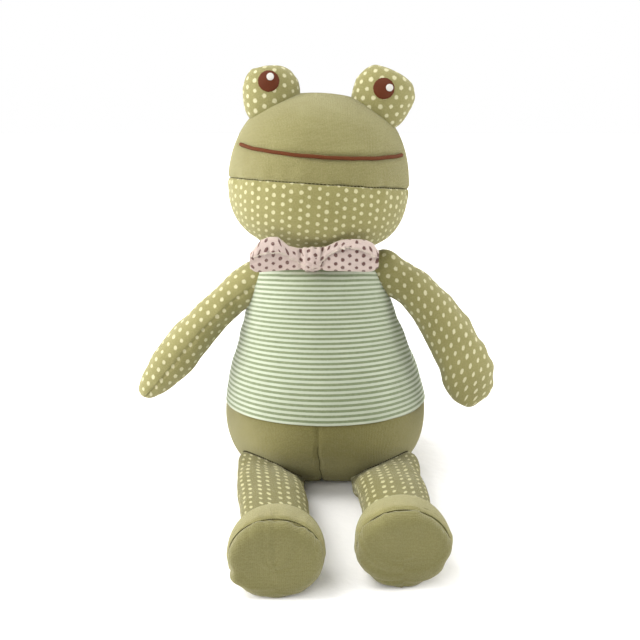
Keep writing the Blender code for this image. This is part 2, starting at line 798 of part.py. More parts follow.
def make_bow(torso_form):
    """A bow tie on the chest: two puffed loops gathered into a knot."""
    chest = Vector((BOW_SHIFT, -TORSO_DEPTH, BOW_SEAT_SHARE * TORSO_HEIGHT))
    seat, _ = surface_hit(tree_of(torso_form), chest, Y_AXIS)
    front = Vector((BOW_SHIFT, seat.y - BOW_FORWARD, BOW_HEIGHT_SHARE * TORSO_HEIGHT))
    rings = []
    for height, width, depth, setback in KNOT_SHARES:
        rise = height * KNOT_HEIGHT / 2 - KNOT_DROP
        place = front + Vector((0, setback * KNOT_THICKNESS, rise))
        half_x = width * KNOT_WIDTH / 2
        half_y = depth * KNOT_THICKNESS / 2
        rings.append(ring(place, X_AXIS, Y_AXIS, half_x, half_y, EYE_SIDES))
    form = soft_form("bow_knot", rings)
    knot = add_object("bow_knot", form, "bow_cotton")
    knot_room = add_helper("knot_room", displaced("knot_room", form, SEAM_GAP))
    torso_room = add_helper("torso_room", displaced("torso_room", torso_form, SEAM_GAP))
    cut(knot, torso_room)
    loops = []
    for side, direction, reach in (("left", -1, BOW_LEFT_REACH), ("right", 1, BOW_RIGHT_REACH)):
        rings = []
        for out, height, thickness in BOW_SHARES:
            place = front + X_AXIS * direction * out * reach
            half_z = height * BOW_LOOP_HEIGHT / 2
            half_y = thickness * BOW_LOOP_THICKNESS / 2
            rings.append(ring(place, Y_AXIS, Z_AXIS, half_y, half_z, EYE_SIDES))
        mesh = soft_form(f"bow_loop_{side}", rings)
        loop = add_object(f"bow_loop_{side}", mesh, "bow_cotton")
        cut(loop, knot_room, torso_room)
        loops.append(loop)
    return [knot, *loops]


clear_scene()
frog = new_collection("plush_frog")
cutters = new_collection("plush_frog_cutters")

torso_form, shirts, hips, seat_base, body_stuffing = make_torso()
head_form, crown, jaw, head_stuffing = make_head()
floor_helper = make_floor_helper()
head_room = add_helper("head_room", displaced("head_room", head_form, SEAM_GAP))
neck, neck_socket = make_neck()
bore = neck_bore()

cut(jaw, neck_socket)
cut(head_stuffing, neck_socket)
for piece in shirts:
    cut(piece, neck_socket)
cut(body_stuffing, neck_socket, bore)
tipped = turned(head_room.data, "head_tipped_back", neck_point(), X_AXIS, -HEAD_TIP_BACK)
for angle in (-HEAD_TURN, 0, HEAD_TURN):
    mesh = turned(tipped, "head_tipped_back", neck_point(), Z_AXIS, angle)
    head_tipped = add_helper(mesh.name, mesh)
    for piece in (*shirts, body_stuffing):
        cut(piece, head_tipped, solver="MANIFOLD")

torso_empty = empty("torso", Vector())
neck_empty = empty("neck_turn", neck_point(), torso_empty)
head_empty = empty("head_nod", neck_point(), neck_empty)
carry(torso_empty, *shirts, *hips, seat_base, body_stuffing)
carry(neck_empty, neck)
carry(head_empty, crown, jaw, head_stuffing, make_mouth(head_form))
eye_left = make_eye(
    "left",
    (-EYE_SPAN_LEFT_SHARE, -EYE_FORWARD_SHARE, EYE_RISE_LEFT_SHARE),
    EYE_SPLAY_LEFT,
    EYE_WIDTH_LEFT,
    (IRIS_SHIFT_LEFT, 0, IRIS_RISE_LEFT),
    (GLINT_SHIFT_LEFT, 0, GLINT_RISE_LEFT),
    head_room,
)
eye_right = make_eye(
    "right",
    (EYE_SPAN_RIGHT_SHARE, -EYE_FORWARD_SHARE, EYE_RISE_RIGHT_SHARE),
    EYE_SPLAY_RIGHT,
    EYE_WIDTH_RIGHT,
    (IRIS_SHIFT_RIGHT, 0, IRIS_RISE_RIGHT),
    (GLINT_SHIFT_RIGHT, 0, GLINT_RISE_RIGHT),
    head_room,
)
carry(head_empty, *eye_left, *eye_right)
carry(torso_empty, *make_bow(torso_form))

for side, shares in (("left", ARM_LEFT_SHARES), ("right", ARM_RIGHT_SHARES)):
    shoulder, room, pieces = make_arm(side, shares)
    carry(empty(f"shoulder_{side}", shoulder, torso_empty), *pieces)
    for piece in (*shirts, body_stuffing):
        cut(piece, *room, solver="MANIFOLD")

for side in ("left", "right"):
    hip, ankle, hip_room, ankle_room, pieces = make_leg(side)
    leg_empty = empty(f"hip_joint_{side}", hip, torso_empty)
    carry(leg_empty, *pieces)
    for piece in (hips[0] if side == "left" else hips[1], seat_base, body_stuffing):
        cut(piece, *hip_room, solver="MANIFOLD")
    foot_pieces = make_foot(side, ankle, ankle_room)
    carry(empty(f"ankle_{side}", ankle, leg_empty), *foot_pieces)
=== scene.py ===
"""The looks of the plush frog: cloth, seams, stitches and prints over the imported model."""
import json
import math

import bmesh
import bpy
import numpy as np
from mathutils import Matrix, Vector
from mathutils.bvhtree import BVHTree


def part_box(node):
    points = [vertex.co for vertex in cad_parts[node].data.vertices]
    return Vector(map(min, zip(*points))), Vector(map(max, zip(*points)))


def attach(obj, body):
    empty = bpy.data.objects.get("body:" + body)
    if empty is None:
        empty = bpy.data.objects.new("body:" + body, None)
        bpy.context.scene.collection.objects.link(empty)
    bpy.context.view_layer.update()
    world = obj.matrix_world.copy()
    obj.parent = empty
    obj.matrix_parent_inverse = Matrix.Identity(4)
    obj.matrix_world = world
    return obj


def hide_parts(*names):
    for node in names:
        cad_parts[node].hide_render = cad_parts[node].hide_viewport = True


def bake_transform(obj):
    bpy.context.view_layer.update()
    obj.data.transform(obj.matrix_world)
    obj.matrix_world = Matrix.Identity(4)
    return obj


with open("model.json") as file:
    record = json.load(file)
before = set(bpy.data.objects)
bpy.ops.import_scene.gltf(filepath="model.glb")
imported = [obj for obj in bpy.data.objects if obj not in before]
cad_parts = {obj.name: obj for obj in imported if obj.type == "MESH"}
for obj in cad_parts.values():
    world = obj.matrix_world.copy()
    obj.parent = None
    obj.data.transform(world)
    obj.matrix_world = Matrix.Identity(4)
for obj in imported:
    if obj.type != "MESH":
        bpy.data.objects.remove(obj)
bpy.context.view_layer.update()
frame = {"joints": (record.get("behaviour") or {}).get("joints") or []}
PIVOTS = {joint["name"]: np.array(joint["pos_m"]) for joint in frame["joints"]}

SIDES = ("left", "right")
OUTWARDS = {"left": -1, "right": 1}
X, Y, Z = np.eye(3)
TURN = 2 * math.pi
QUARTER = math.pi / 2
PROUD = 0.0004
FLOOR_GAP = 0.0001
PUCKER_DRIFT, FOLD_DRIFT = 0.15, 0.2


# Fields and curves

HASH_FACTORS = (374761393, 668265263, 2147483647)
HASH_SEED, HASH_MIX = 1274126177, 1103515245
LOW_32, LOW_16 = 0xFFFFFFFF, 0xFFFF


def smooth(low, high, value):
    part = np.clip((value - low) / (high - low), 0, 1)
    return part * part * (3 - 2 * part)


def bell(distance, width):
    return np.exp(-(distance / width) ** 2)


def ridge(distance, high, width):
    """A smooth ridge or, taken away, a groove where a distance is zero."""
    return high * bell(distance, width)


def corner_value(cell, seed):
    """A repeatable number from -1 to 1 for each corner of a grid."""
    mixed = sum(cell[..., axis] * factor for axis, factor in enumerate(HASH_FACTORS))
    mixed = (mixed + seed * HASH_SEED) & LOW_32
    mixed = ((mixed ^ (mixed >> 13)) * HASH_MIX) & LOW_32
    mixed = mixed ^ (mixed >> 16)
    return (mixed & LOW_16) * 2 / LOW_16 - 1


def noise(points, size, seed):
    """Smooth noise from -1 to 1 at points, with lumps of a size in metres."""
    scaled = np.asarray(points) / size
    base = np.floor(scaled).astype(np.int64)
    part = smooth(0, 1, scaled - base)
    total = 0
    for corner in range(8):
        offset = np.array([corner & 1, corner >> 1 & 1, corner >> 2 & 1])
        share = np.prod(np.where(offset, part, 1 - part), axis=-1)
        total = total + share * corner_value(base + offset, seed)
    return total


def noise_of(first, second, size, seed):
    """Smooth noise over two fields in place of a point's coordinates."""
    return noise(np.stack(np.broadcast_arrays(first, second, 0.0), axis=-1), size, seed)


def unit(vectors):
    length = np.linalg.norm(vectors, axis=-1, keepdims=True)
    return vectors / np.maximum(length, 1e-12)


def distance(points, place, squash=(1, 1, 1)):
    """Distance from points to a place, less along an axis that is squashed."""
    return np.linalg.norm((points - np.array(place)) * squash, axis=-1)


def spline(rows, places):
    """A smooth curve that follows control rows."""
    rows = np.asarray(rows, float)
    places = np.asarray(places, float)
    start = np.clip(np.floor(places).astype(int), 0, len(rows) - 2)
    part = places - start
    shares = (
        (1 - part) ** 3 / 6,
        (3 * part ** 3 - 6 * part ** 2 + 4) / 6,
        (-3 * part ** 3 + 3 * part ** 2 + 3 * part + 1) / 6,
        part ** 3 / 6,
    )
    total = 0
    for step, share in enumerate(shares):
        picked = rows[np.clip(start + step - 1, 0, len(rows) - 1)]
        total = total + share[..., None] * picked
    return total


def turn_matrix(degrees, axis):
    return np.array(Matrix.Rotation(math.radians(degrees), 3, axis))


def closed(field):
    """A field on a closed grid with its first column again at the end."""
    return np.concatenate([field, field[:, :1]], axis=1)


class Loft:
    """A closed soft form through oval rings, each a centre and two half axes."""

    def __init__(self, rings, square=1.0):
        rows = [np.concatenate(ring) for ring in rings]
        first, last = (np.concatenate([row[:3], np.zeros(6)]) for row in (rows[0], rows[-1]))
        self.rows = np.array([first, first, *rows, last, last])
        self.span = len(self.rows) - 1
        self.square = square

    def at(self, angle, place):
        row = spline(self.rows, place)
        cos, sin = (
            (np.sign(share) * np.abs(share) ** self.square)[..., None]
            for share in (np.cos(angle), np.sin(angle))
        )
        return row[..., :3] + cos * row[..., 3:6] + sin * row[..., 6:9]

    def place_where(self, angles, field, level, low, high, halvings=26):
        """For each angle, the place between low and high where a rising field meets a level."""
        low = np.full(angles.shape, float(low))
        high = np.full(angles.shape, float(high))
        for _ in range(halvings):
            middle = (low + high) / 2
            under = field(self.at(angles, middle)) < level
            low = np.where(under, middle, low)
            high = np.where(under, high, middle)
        return (low + high) / 2

    def whole(self, columns, rows, first=QUARTER):
        """Points all over the form, from pole to pole."""
        places = np.linspace(0, self.span, rows)
        return self.at(*np.meshgrid(around_angles(columns, first), places))

    def between(self, angles, from_places, to_places, shares):
        """Points of the form in rows between two places for each angle."""
        places = from_places + (to_places - from_places) * shares[:, None]
        return self.at(np.broadcast_to(angles, places.shape), places)


def around_angles(count, first=QUARTER):
    """Angles once around from the back, where cloth is joined out of sight."""
    return first + np.arange(count) * TURN / count


def edge_shares(near_edge, start, rows):
    """Shares from 0 to 1: a few given near a turned edge and then even rows."""
    return np.concatenate([near_edge, np.linspace(start, 1, rows)])


class Cloth:
    """A closed grid of points with outward normals and with lengths of cloth in metres."""

    def __init__(self, points):
        self.points = points
        self.normals = self.find_normals()
        step = np.linalg.norm(np.diff(closed(points), axis=1), axis=2)
        self.around = np.pad(np.cumsum(step, axis=1), ((0, 0), (1, 0)))
        middle = points.shape[1] // 2
        self.around -= self.around[:, middle:middle + 1]
        rise = np.linalg.norm(np.diff(closed(points), axis=0), axis=2)
        self.along = np.pad(np.cumsum(rise, axis=0), ((1, 0), (0, 0)))

    def find_normals(self):
        points = self.points
        around = np.roll(points, -1, axis=1) - np.roll(points, 1, axis=1)
        normal = np.cross(around, np.gradient(points, axis=0))
        flat = np.linalg.norm(normal, axis=2) < 1e-14
        for row in range(len(points)):
            if flat[row].any():
                source = row + 1 if row < len(points) / 2 else row - 1
                normal[row] = unit(normal[source]).mean(axis=0)
        normal = unit(normal)
        outward = (points - points.mean(axis=(0, 1))) * normal
        return normal if outward.sum() > 0 else -normal

    def lumps(self, high, size, seed, stretch=(1, 1, 1)):
        return high * noise(self.points * stretch, size, seed)

    def ruffles(self, high, size, seed, drift=0.0):
        """Folds that lie side by side around the cloth and drift with a second field."""
        return high * noise_of(self.around[:, :-1], drift, size, seed)

    def puckers(self, high, size, seed):
        """Ruffles that fade out slowly along the cloth."""
        return self.ruffles(high, size, seed, self.along[:, :-1] * PUCKER_DRIFT)

    def raise_by(self, lift):
        self.points = self.points + self.normals * lift[..., None]

    def turn_in(self, *depths):
        """Turns the first rows inwards at a seam or hem."""
        for row, depth in enumerate(depths):
            self.points[row] -= self.normals[row] * depth

    def keep_off_floor(self):
        self.points[..., 2] = np.maximum(self.points[..., 2], FLOOR_GAP)

    def piece(self, name, material, first_pole=True, last_pole=True):
        return grid_piece(
            name, self.points, material, self.around, self.along, first_pole, last_pole
        )


# Pieces

STITCH_STEPS, STITCH_SIDES = 5, 6
STITCH_ARCH, STITCH_SEAT, STITCH_HEIGHT = 0.4, 0.5, 1.6
STITCH_END = 0.45
# the leg entry is for the dark thread laid in the crease at a leg's top: painted shade
# share of the way to the next stitch that a stitch reaches, and its radius
STITCHES = {
    "head": (0.72, 0.00026), "hem": (0.7, 0.00028), "hip": (0.8, 0.00026),
    "leg": (0.96, 0.00078), "sole": (0.8, 0.00036),
}


def new_piece(name, vertices, faces, material, uvs):
    mesh = bpy.data.meshes.new(name)
    mesh.from_pydata([tuple(v) for v in vertices], [], faces)
    mesh.materials.append(material)
    layer = mesh.uv_layers.new(name="cloth")
    layer.data.foreach_set("uv", np.asarray(uvs, np.float32).ravel())
    mesh.update()
    mesh.shade_smooth()
    item = bpy.data.objects.new(name, mesh)
    bpy.context.scene.collection.objects.link(item)
    work = bmesh.new()
    work.from_mesh(mesh)
    bmesh.ops.recalc_face_normals(work, faces=work.faces)
    work.to_mesh(mesh)
    work.free()
    return item


def dress(item, body, replaced=()):
    """Puts a piece on what carries it and hides the solids that it stands for."""
    if body:
        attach(item, body)
    if replaced:
        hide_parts(*replaced)
    return item


def grid_piece(name, points, material, around, along, first_pole=True, last_pole=True):
    """A mesh from a closed grid; a pole row becomes one point."""
    rows, columns = points.shape[:2]
    vertices = []
    index = np.zeros((rows, columns + 1), int)
    for row in range(rows):
        start = len(vertices)
        if (row == 0 and first_pole) or (row == rows - 1 and last_pole):
            vertices.append(points[row].mean(axis=0))
            index[row] = start
        else:
            vertices.extend(points[row])
            index[row] = [*range(start, start + columns), start]
    faces = []
    uvs = []
    for row in range(rows - 1):
        for column in range(columns):
            kept = {}
            for corner in (
                (row, column), (row, column + 1), (row + 1, column + 1), (row + 1, column)
            ):
                kept.setdefault(int(index[corner]), corner)
            faces.append(list(kept))
            uvs.extend((around[corner], along[corner]) for corner in kept.values())
    return new_piece(name, vertices, faces, material, uvs)


def add_tube(faces, uvs, base, sides, width, lengths):
    """Adds the faces of a closed tube whose rings of points start at base."""
    for row in range(len(lengths) - 1):
        low, high = base + row * sides, base + (row + 1) * sides
        for step in range(sides):
            after = (step + 1) % sides
            faces.append([low + step, low + after, high + after, high + step])
            for u, v in ((step, row), (step + 1, row), (step + 1, row + 1), (step, row + 1)):
                uvs.append((u * width, lengths[v]))
    for start, order in ((base, -1), (base + (len(lengths) - 1) * sides, 1)):
        faces.append([start + step for step in range(sides)][::order])
        uvs.extend((0, 0) for _ in range(sides))


def tube_piece(name, path, radii, material, sides, twist):
    """A tube along a path, with a radius for each point and a twist field for its strands."""
    side = unit(np.cross(unit(np.gradient(path, axis=0)), (0.13, 0.21, 0.97)))
    up = np.cross(side, unit(np.gradient(path, axis=0)))
    vertices = []
    for row in range(len(path)):
        for step in range(sides):
            angle = TURN * step / sides
            offset = side[row] * math.cos(angle) + up[row] * math.sin(angle)
            vertices.append(path[row] + offset * radii[row] * twist(row, angle))
    lengths = np.concatenate([[0], np.cumsum(np.linalg.norm(np.diff(path, axis=0), axis=1))])
    faces = []
    uvs = []
    add_tube(faces, uvs, 0, sides, TURN * np.max(radii) / sides, lengths)
    return new_piece(name, vertices, faces, material, uvs)


def stitches_piece(name, starts, ends, normals, radius, material):
    """Short rounded threads from start to end, each arched over the cloth."""
    vertices = []
    faces = []
    uvs = []
    for start, end, normal in zip(starts, ends, normals):
        length = np.linalg.norm(end - start)
        if length < 1e-6:
            continue
        along = (end - start) / length
        side = unit(np.cross(along, normal))
        base = len(vertices)
        parts = np.arange(STITCH_STEPS + 1) / STITCH_STEPS
        for part in parts:
            arch = max(math.sin(math.pi * part), 0)
            rise = (arch * STITCH_ARCH - STITCH_SEAT) * radius * STITCH_HEIGHT
            centre = start + along * length * part + normal * rise
            size = radius * (STITCH_END + (1 - STITCH_END) * math.sqrt(arch))
            for step in range(STITCH_SIDES):
                angle = TURN * step / STITCH_SIDES
                offset = side * math.cos(angle) + normal * math.sin(angle)
                vertices.append(centre + size * offset)
        add_tube(faces, uvs, base, STITCH_SIDES, radius, parts * length)
    return new_piece(name, vertices, faces, material, uvs)


def stitches_along(name, line, outward, kind, material, raised=0.0, kept=slice(None)):
    """Stitches of a kind on the kept points of a line, each towards the next point."""
    share, radius = STITCHES[kind]
    ends = line + (np.roll(line, -1, axis=0) - line) * share
    return stitches_piece(
        name, (line + outward * raised)[kept], (ends + outward * raised)[kept], outward[kept],
        radius, material,
    )


def tree_of(item):
    mesh = item.data
    return BVHTree.FromPolygons(
        [v.co for v in mesh.vertices], [p.vertices[:] for p in mesh.polygons]
    )


# Materials

DEPTH_OF_DYE = 0.75
VALLEY_SHADE = 0.80
PAIR_CLOSER = 0.13
DOT_BLUR = 0.0003
DOT_LOOSE, DOT_RAGGED, DOT_GROWN = 0.06, 0.0009, 0.0003
THREAD_WANDER = 0.0012
SHEEN_ROUGHNESS, SPECULAR = 0.45, 0.18

# scale per metre, detail and, where it isn't 0.5, roughness of each noise
WOVEN_BENDS, SLUBS, DOT_EDGES = (240.0, 2.0), (1900.0, 3.0), (1500.0, 2.0)
KNIT_BENDS, PILLS = (120.0, 1.0), (620.0, 4.0, 0.7)
STRIPE_BENDS, STRIPE_FRAY, FUZZ = (90.0, 2.0), (1700.0, 2.0), (2500.0, 3.0)
# a noise and where it starts and ends
PATCHES, FLECKS = ((22.0, 3.0), 0.3, 0.75), ((1300.0, 2.0), 0.35, 0.7)
WEAR, GLOSS = ((700.0, 3.0), 0.25, 0.6), ((420.0, 3.0), 0.2, 0.8)
STRIPE_GROUND, STRIPE_PALE = ((500.0, 3.0), 0.3, 0.7), ((60.0, 2.0), 0.3, 0.8)
# the share that a dot's dye is worn to, the share of flecks, and the least and most roughness
WORN, FLECKED, PLAIN_GLOSS, STRIPED_GLOSS = (0.80, 1.0), 0.30, (0.82, 0.97), (0.84, 0.96)
# roughness of cloth and of dots
DOTTED_GLOSS = (0.92, 0.80)
# heights between loops, and how much painted shade darkens the cloth at each
VALLEYS = (-1.2, 0.6, 0.22, 0.0)
# pitch of the threads and how uneven they are
PLAIN_KNIT, STRIPED_KNIT, WOVEN = (0.00105, 1.8), (0.0007, 1.2), (0.0006, 1.4)
KNIT_SLANT, KNIT_LOOPS, KNIT_COLUMNS = 1.6, 1.3, 0.5
STRIPE_WAVER, STRIPE_FRAYED, STRIPE_EDGE, PALER = 0.0006, 0.7, (-0.45, 0.45), (1.03, 4)
THREAD_SLANT, THREAD_SHARE, THREAD_SHADES = 0.8, 0.3, (0.0, 0.9)
# how far dots and stripes stand out, and the strength and reach of bumps
DOT_RELIEF, STRIPE_RELIEF, CLOTH_REACH, THREAD_REACH = 0.7, 0.5, 0.0004, 0.0002
DOTTED_BUMP, STRIPED_BUMP, THREAD_BUMP = 0.42, 0.40, 0.5
# sheen and its tint
PLAIN_SHEEN, DOTTED_SHEEN = (0.35, (0.95, 0.93, 0.75)), (0.28, (0.95, 0.93, 0.78))
STRIPED_SHEEN, THREAD_SHEEN = (0.25, (1.0, 1.0, 0.95)), (0.04, (1.0, 0.85, 0.75))


class Value:
    """A node's output that sums can be written with."""

    def __init__(self, nodes, socket):
        self.nodes, self.socket = nodes, socket

    def __add__(self, other):
        return self.nodes.math("ADD", self, other)

    def __sub__(self, other):
        return self.nodes.math("SUBTRACT", self, other)

    def __mul__(self, other):
        return self.nodes.math("MULTIPLY", self, other)

    def __truediv__(self, other):
        return self.nodes.math("DIVIDE", self, other)

    def floor(self):
        return self.nodes.math("FLOOR", self)

    def odd(self):
        return self.nodes.math("FLOORED_MODULO", self, 2.0)

    def wave(self, pitch):
        return self.nodes.math("SINE", self * (TURN / pitch))


class Nodes:
    """A node tree with short calls. Numbers go on the sockets themselves."""

    def __init__(self, owner):
        owner.use_nodes = True
        self.tree = owner.node_tree

    def fill(self, node, inputs):
        for name, value in inputs.items():
            if isinstance(value, Value):
                self.tree.links.new(value.socket, node.inputs[name])
            else:
                node.inputs[name].default_value = value
        return node

    def node(self, kind, inputs=None, **settings):
        made = self.tree.nodes.new(kind)
        for name, setting in settings.items():
            setattr(made, name, setting)
        return self.fill(made, inputs or {})

    def value(self, kind, inputs=None, output=0, **settings):
        return Value(self, self.node(kind, inputs, **settings).outputs[output])

    def place(self, kind="Object"):
        return self.value("ShaderNodeTexCoord", output=kind)

    def math(self, operation, *values):
        return self.value("ShaderNodeMath", dict(enumerate(values)), operation=operation)

    def mix(self, share, first, second):
        inputs = {0: share, 6: first, 7: second}
        return self.value("ShaderNodeMix", inputs, output=2, data_type="RGBA")

    def noise(self, scale, detail, roughness=0.5):
        inputs = {"Scale": scale, "Detail": detail, "Roughness": roughness, "Vector": self.place()}
        return self.value("ShaderNodeTexNoise", inputs)

    def patches(self, lumps, low, high, to_low=0.0, to_high=1.0):
        return self.steps(self.noise(*lumps), low, high, to_low, to_high)

    def steps(self, value, low, high, to_low=0.0, to_high=1.0):
        inputs = {
            "Value": value, "From Min": low, "From Max": high, "To Min": to_low, "To Max": to_high
        }
        return self.value("ShaderNodeMapRange", inputs, interpolation_type="SMOOTHSTEP")


class Shader(Nodes):
    """A material whose cloth places are u around and v along, in metres."""

    def __init__(self, name):
        self.material = bpy.data.materials.new(name)
        super().__init__(self.material)
        place = self.value("ShaderNodeUVMap", uv_map="cloth")
        split = self.node("ShaderNodeSeparateXYZ", {"Vector": place})
        self.u, self.v = (Value(self, split.outputs[axis]) for axis in "XY")

    def bent(self, bends):
        """Cloth places whose threads wander."""
        bend = self.noise(*bends) * THREAD_WANDER
        return self.u + bend, self.v + bend

    def finish(self, colour, height, bump, roughness, sheen, sheen_tint, reach=CLOTH_REACH):
        inputs = {"Height": height, "Strength": bump, "Distance": reach}
        self.fill(self.tree.nodes["Principled BSDF"], {
            "Base Color": colour,
            "Roughness": roughness,
            "Normal": self.value("ShaderNodeBump", inputs),
            "Sheen Weight": sheen,
            "Sheen Roughness": SHEEN_ROUGHNESS,
            "Sheen Tint": (*sheen_tint, 1),
            "Specular IOR Level": SPECULAR,
        })
        return self.material


def linear(colour):
    """For a shader, the colour with these screen values from 0 to 255 under the lamps."""
    values = []
    for part in colour:
        part /= 255
        bright = part / 12.92 if part <= 0.04045 else ((part + 0.055) / 1.055) ** 2.4
        values.append(bright * DEPTH_OF_DYE)
    return (*values, 1)


def shaded(colour, share, more=0):
    return [min(255, part * share + more) for part in colour]


def weave_height(shader, pitch, slub):
    """Plain weave: threads over and under, with uneven thickness."""
    u, v = shader.bent(WOVEN_BENDS)
    return u.wave(pitch) * v.wave(pitch) + shader.noise(*SLUBS) * slub


def knit_height(shader, pitch, slub):
    """Jersey knit: fine columns of slanted loops, with small pills between them."""
    u, v = shader.bent(KNIT_BENDS)
    columns = u.wave(pitch)
    slant = shader.math("ABSOLUTE", columns) * KNIT_SLANT
    loops = shader.math("SINE", v * (TURN / pitch * KNIT_LOOPS) + slant)
    return columns * KNIT_COLUMNS + loops + shader.noise(*PILLS) * slub


def dot_mask(shader, pitch_u, pitch_v, radius, paired, shift, length):
    """Printed dots in columns, every other column or pair of columns half a pitch lower."""
    u = shader.u / pitch_u + shift[0]
    column = u.floor()
    order = ((column + 1.0) / 2.0).floor() if paired else column
    v = shader.v / pitch_v + shift[1] + order.odd() * 0.5
    row = v.floor()
    cell = shader.value("ShaderNodeCombineXYZ", {"X": column, "Y": row})
    chance = shader.value(
        "ShaderNodeTexWhiteNoise", {"Vector": cell}, "Color", noise_dimensions="2D"
    )
    apart = shader.node("ShaderNodeSeparateColor", {"Color": chance})
    chances = [Value(shader, socket) - 0.5 for socket in apart.outputs]
    across = u - column - 0.5 + chances[0] * DOT_LOOSE
    if paired:
        across = across + (column.odd() - 0.5) * PAIR_CLOSER
    across = across * pitch_u
    up = (v - row - 0.5 + chances[1] * DOT_LOOSE) * (pitch_v / length)
    away = shader.math("SQRT", across * across + up * up)
    away = away + (shader.noise(*DOT_EDGES) - 0.5) * DOT_RAGGED + chances[2] * DOT_GROWN
    return shader.steps(away, radius + DOT_BLUR, radius - DOT_BLUR)


def mottled(shader, dyes):
    """Cloth colour with soft patches and fine flecks."""
    base, dark, light = map(linear, dyes)
    flecks = shader.patches(*FLECKS) * FLECKED
    return shader.mix(flecks, shader.mix(shader.patches(*PATCHES), dark, base), light)


def plain_cloth(name, dyes, bump=0.55):
    shader = Shader(name)
    height = knit_height(shader, *PLAIN_KNIT)
    # the knit's low valleys are painted darker with VALLEY_SHADE: painted shade in the valleys
    valley_shade = shader.steps(height, *VALLEYS)
    colour = shader.mix(valley_shade, mottled(shader, dyes), linear(shaded(dyes[1], VALLEY_SHADE)))
    roughness = shader.patches(*GLOSS, *PLAIN_GLOSS)
    return shader.finish(colour, height, bump, roughness, *PLAIN_SHEEN)


def dotted_cloth(name, dyes, dot, pitches, radius, paired=False, shift=(0.0, 0.0), length=1.0):
    shader = Shader(name)
    mask = dot_mask(shader, *pitches, radius, paired, shift, length)
    worn = shader.patches(*WEAR, *WORN)
    colour = shader.mix(mask * worn, mottled(shader, dyes), linear(dot))
    height = weave_height(shader, *WOVEN) + mask * DOT_RELIEF
    roughness = shader.steps(mask, 0.0, 1.0, *DOTTED_GLOSS)
    return shader.finish(colour, height, DOTTED_BUMP, roughness, *DOTTED_SHEEN)


def striped_cloth(name, dark, light, thread):
    """Stripes that follow v, which counts them."""
    shader = Shader(name)
    phase = shader.v + (shader.noise(*STRIPE_BENDS) - 0.5) * STRIPE_WAVER
    fray = (shader.noise(*STRIPE_FRAY) - 0.5) * STRIPE_FRAYED
    mask = shader.steps(phase.wave(1.0) + fray, *STRIPE_EDGE)
    ground = shader.mix(shader.patches(*STRIPE_GROUND), linear(dark), linear(thread))
    paler = linear(shaded(light, *PALER))
    pale = shader.mix(shader.patches(*STRIPE_PALE), linear(light), paler)
    height = knit_height(shader, *STRIPED_KNIT) + mask * STRIPE_RELIEF
    roughness = shader.patches(*GLOSS, *STRIPED_GLOSS)
    colour = shader.mix(mask, ground, pale)
    return shader.finish(colour, height, STRIPED_BUMP, roughness, *STRIPED_SHEEN)


def thread_material(name, base, dark, gloss, pitch=0.0006):
    """Twisted thread: fine slanted strands with a soft shine; its dark colour is painted shade in
    the grooves between strands, mixed with random fuzz.
    """
    shader = Shader(name)
    strands = (shader.u + shader.v * THREAD_SLANT).wave(pitch)
    fuzz = shader.noise(*FUZZ)
    shades = shader.steps(strands * THREAD_SHARE + fuzz, *THREAD_SHADES)
    colour = shader.mix(shades, linear(dark), linear(base))
    height = strands + fuzz
    return shader.finish(colour, height, THREAD_BUMP, gloss, *THREAD_SHEEN, THREAD_REACH)


# base, dark and light dye of each cloth; the sole, hip, jaw and leg sets are the same plain or
# dotted cloth made darker, as painted shade
OLIVE = (157, 151, 98), (146, 139, 87), (189, 183, 132)
SHADED_SOLE_OLIVE = (131, 126, 80), (121, 116, 71), (159, 154, 107)
SHADED_HIP_OLIVE = (140, 133, 79), (129, 122, 70), (170, 164, 111)
SHADED_JAW_OLIVE = (160, 154, 98), (149, 143, 88), (190, 184, 130)
LIMB_OLIVE = (163, 157, 103), (152, 146, 93), (192, 187, 134)
SHADED_LEG_OLIVE = (118, 112, 57), (108, 102, 50), (145, 139, 84)
BOW_PINK = (222, 203, 194), (212, 190, 181), (236, 222, 214)
LIMB_DOT, SHADED_JAW_DOT, SHADED_LEG_DOT = (229, 224, 182), (222, 217, 170), (201, 196, 148)
BOW_DOT, BOW_DOT_RADIUS = (112, 78, 74), 0.00108

plain = plain_cloth("plain_green_cloth", OLIVE)
# the sole, hip, jaw and leg cloths are darker copies of the plain and dotted cloths: painted shade
shaded_sole_plain = plain_cloth("shaded_sole_green_cloth", SHADED_SOLE_OLIVE, 0.42)
shaded_hip_plain = plain_cloth("hip_plain_cloth", SHADED_HIP_OLIVE)
shaded_jaw_dotted = dotted_cloth(
    "jaw_dotted_cloth", SHADED_JAW_OLIVE, SHADED_JAW_DOT, (0.0053, 0.0052), 0.00112, True, (0.5, 0.0)
)
limb_dotted = dotted_cloth("limb_dotted_cloth", LIMB_OLIVE, LIMB_DOT, (0.0059, 0.0060), 0.00122)
shaded_leg_dotted = dotted_cloth(
    "leg_dotted_cloth", SHADED_LEG_OLIVE, SHADED_LEG_DOT, (0.0056, 0.0072), 0.00112, True, length=1.4
)
striped = striped_cloth("striped_cotton", (133, 147, 110), (204, 211, 189), (143, 157, 120))
bow_dotted = dotted_cloth(
    "bow_dotted_cotton", BOW_PINK, BOW_DOT, (0.0041, 0.0050), BOW_DOT_RADIUS
)
knot_dotted = dotted_cloth(
    "knot_dotted_cotton", BOW_PINK, BOW_DOT, (0.0040, 0.0050), BOW_DOT_RADIUS, shift=(0.98, 0.30)
)
# the second colour of each thread is darker: painted shade in the grooves between its strands
mouth_thread = thread_material("mouth_thread", (124, 66, 30), (84, 42, 16), 0.75, 0.0008)
iris_thread = thread_material("iris_thread", (109, 50, 18), (92, 40, 12), 0.6)
glint_thread = thread_material("glint_thread", (246, 244, 238), (224, 220, 212), 0.45)
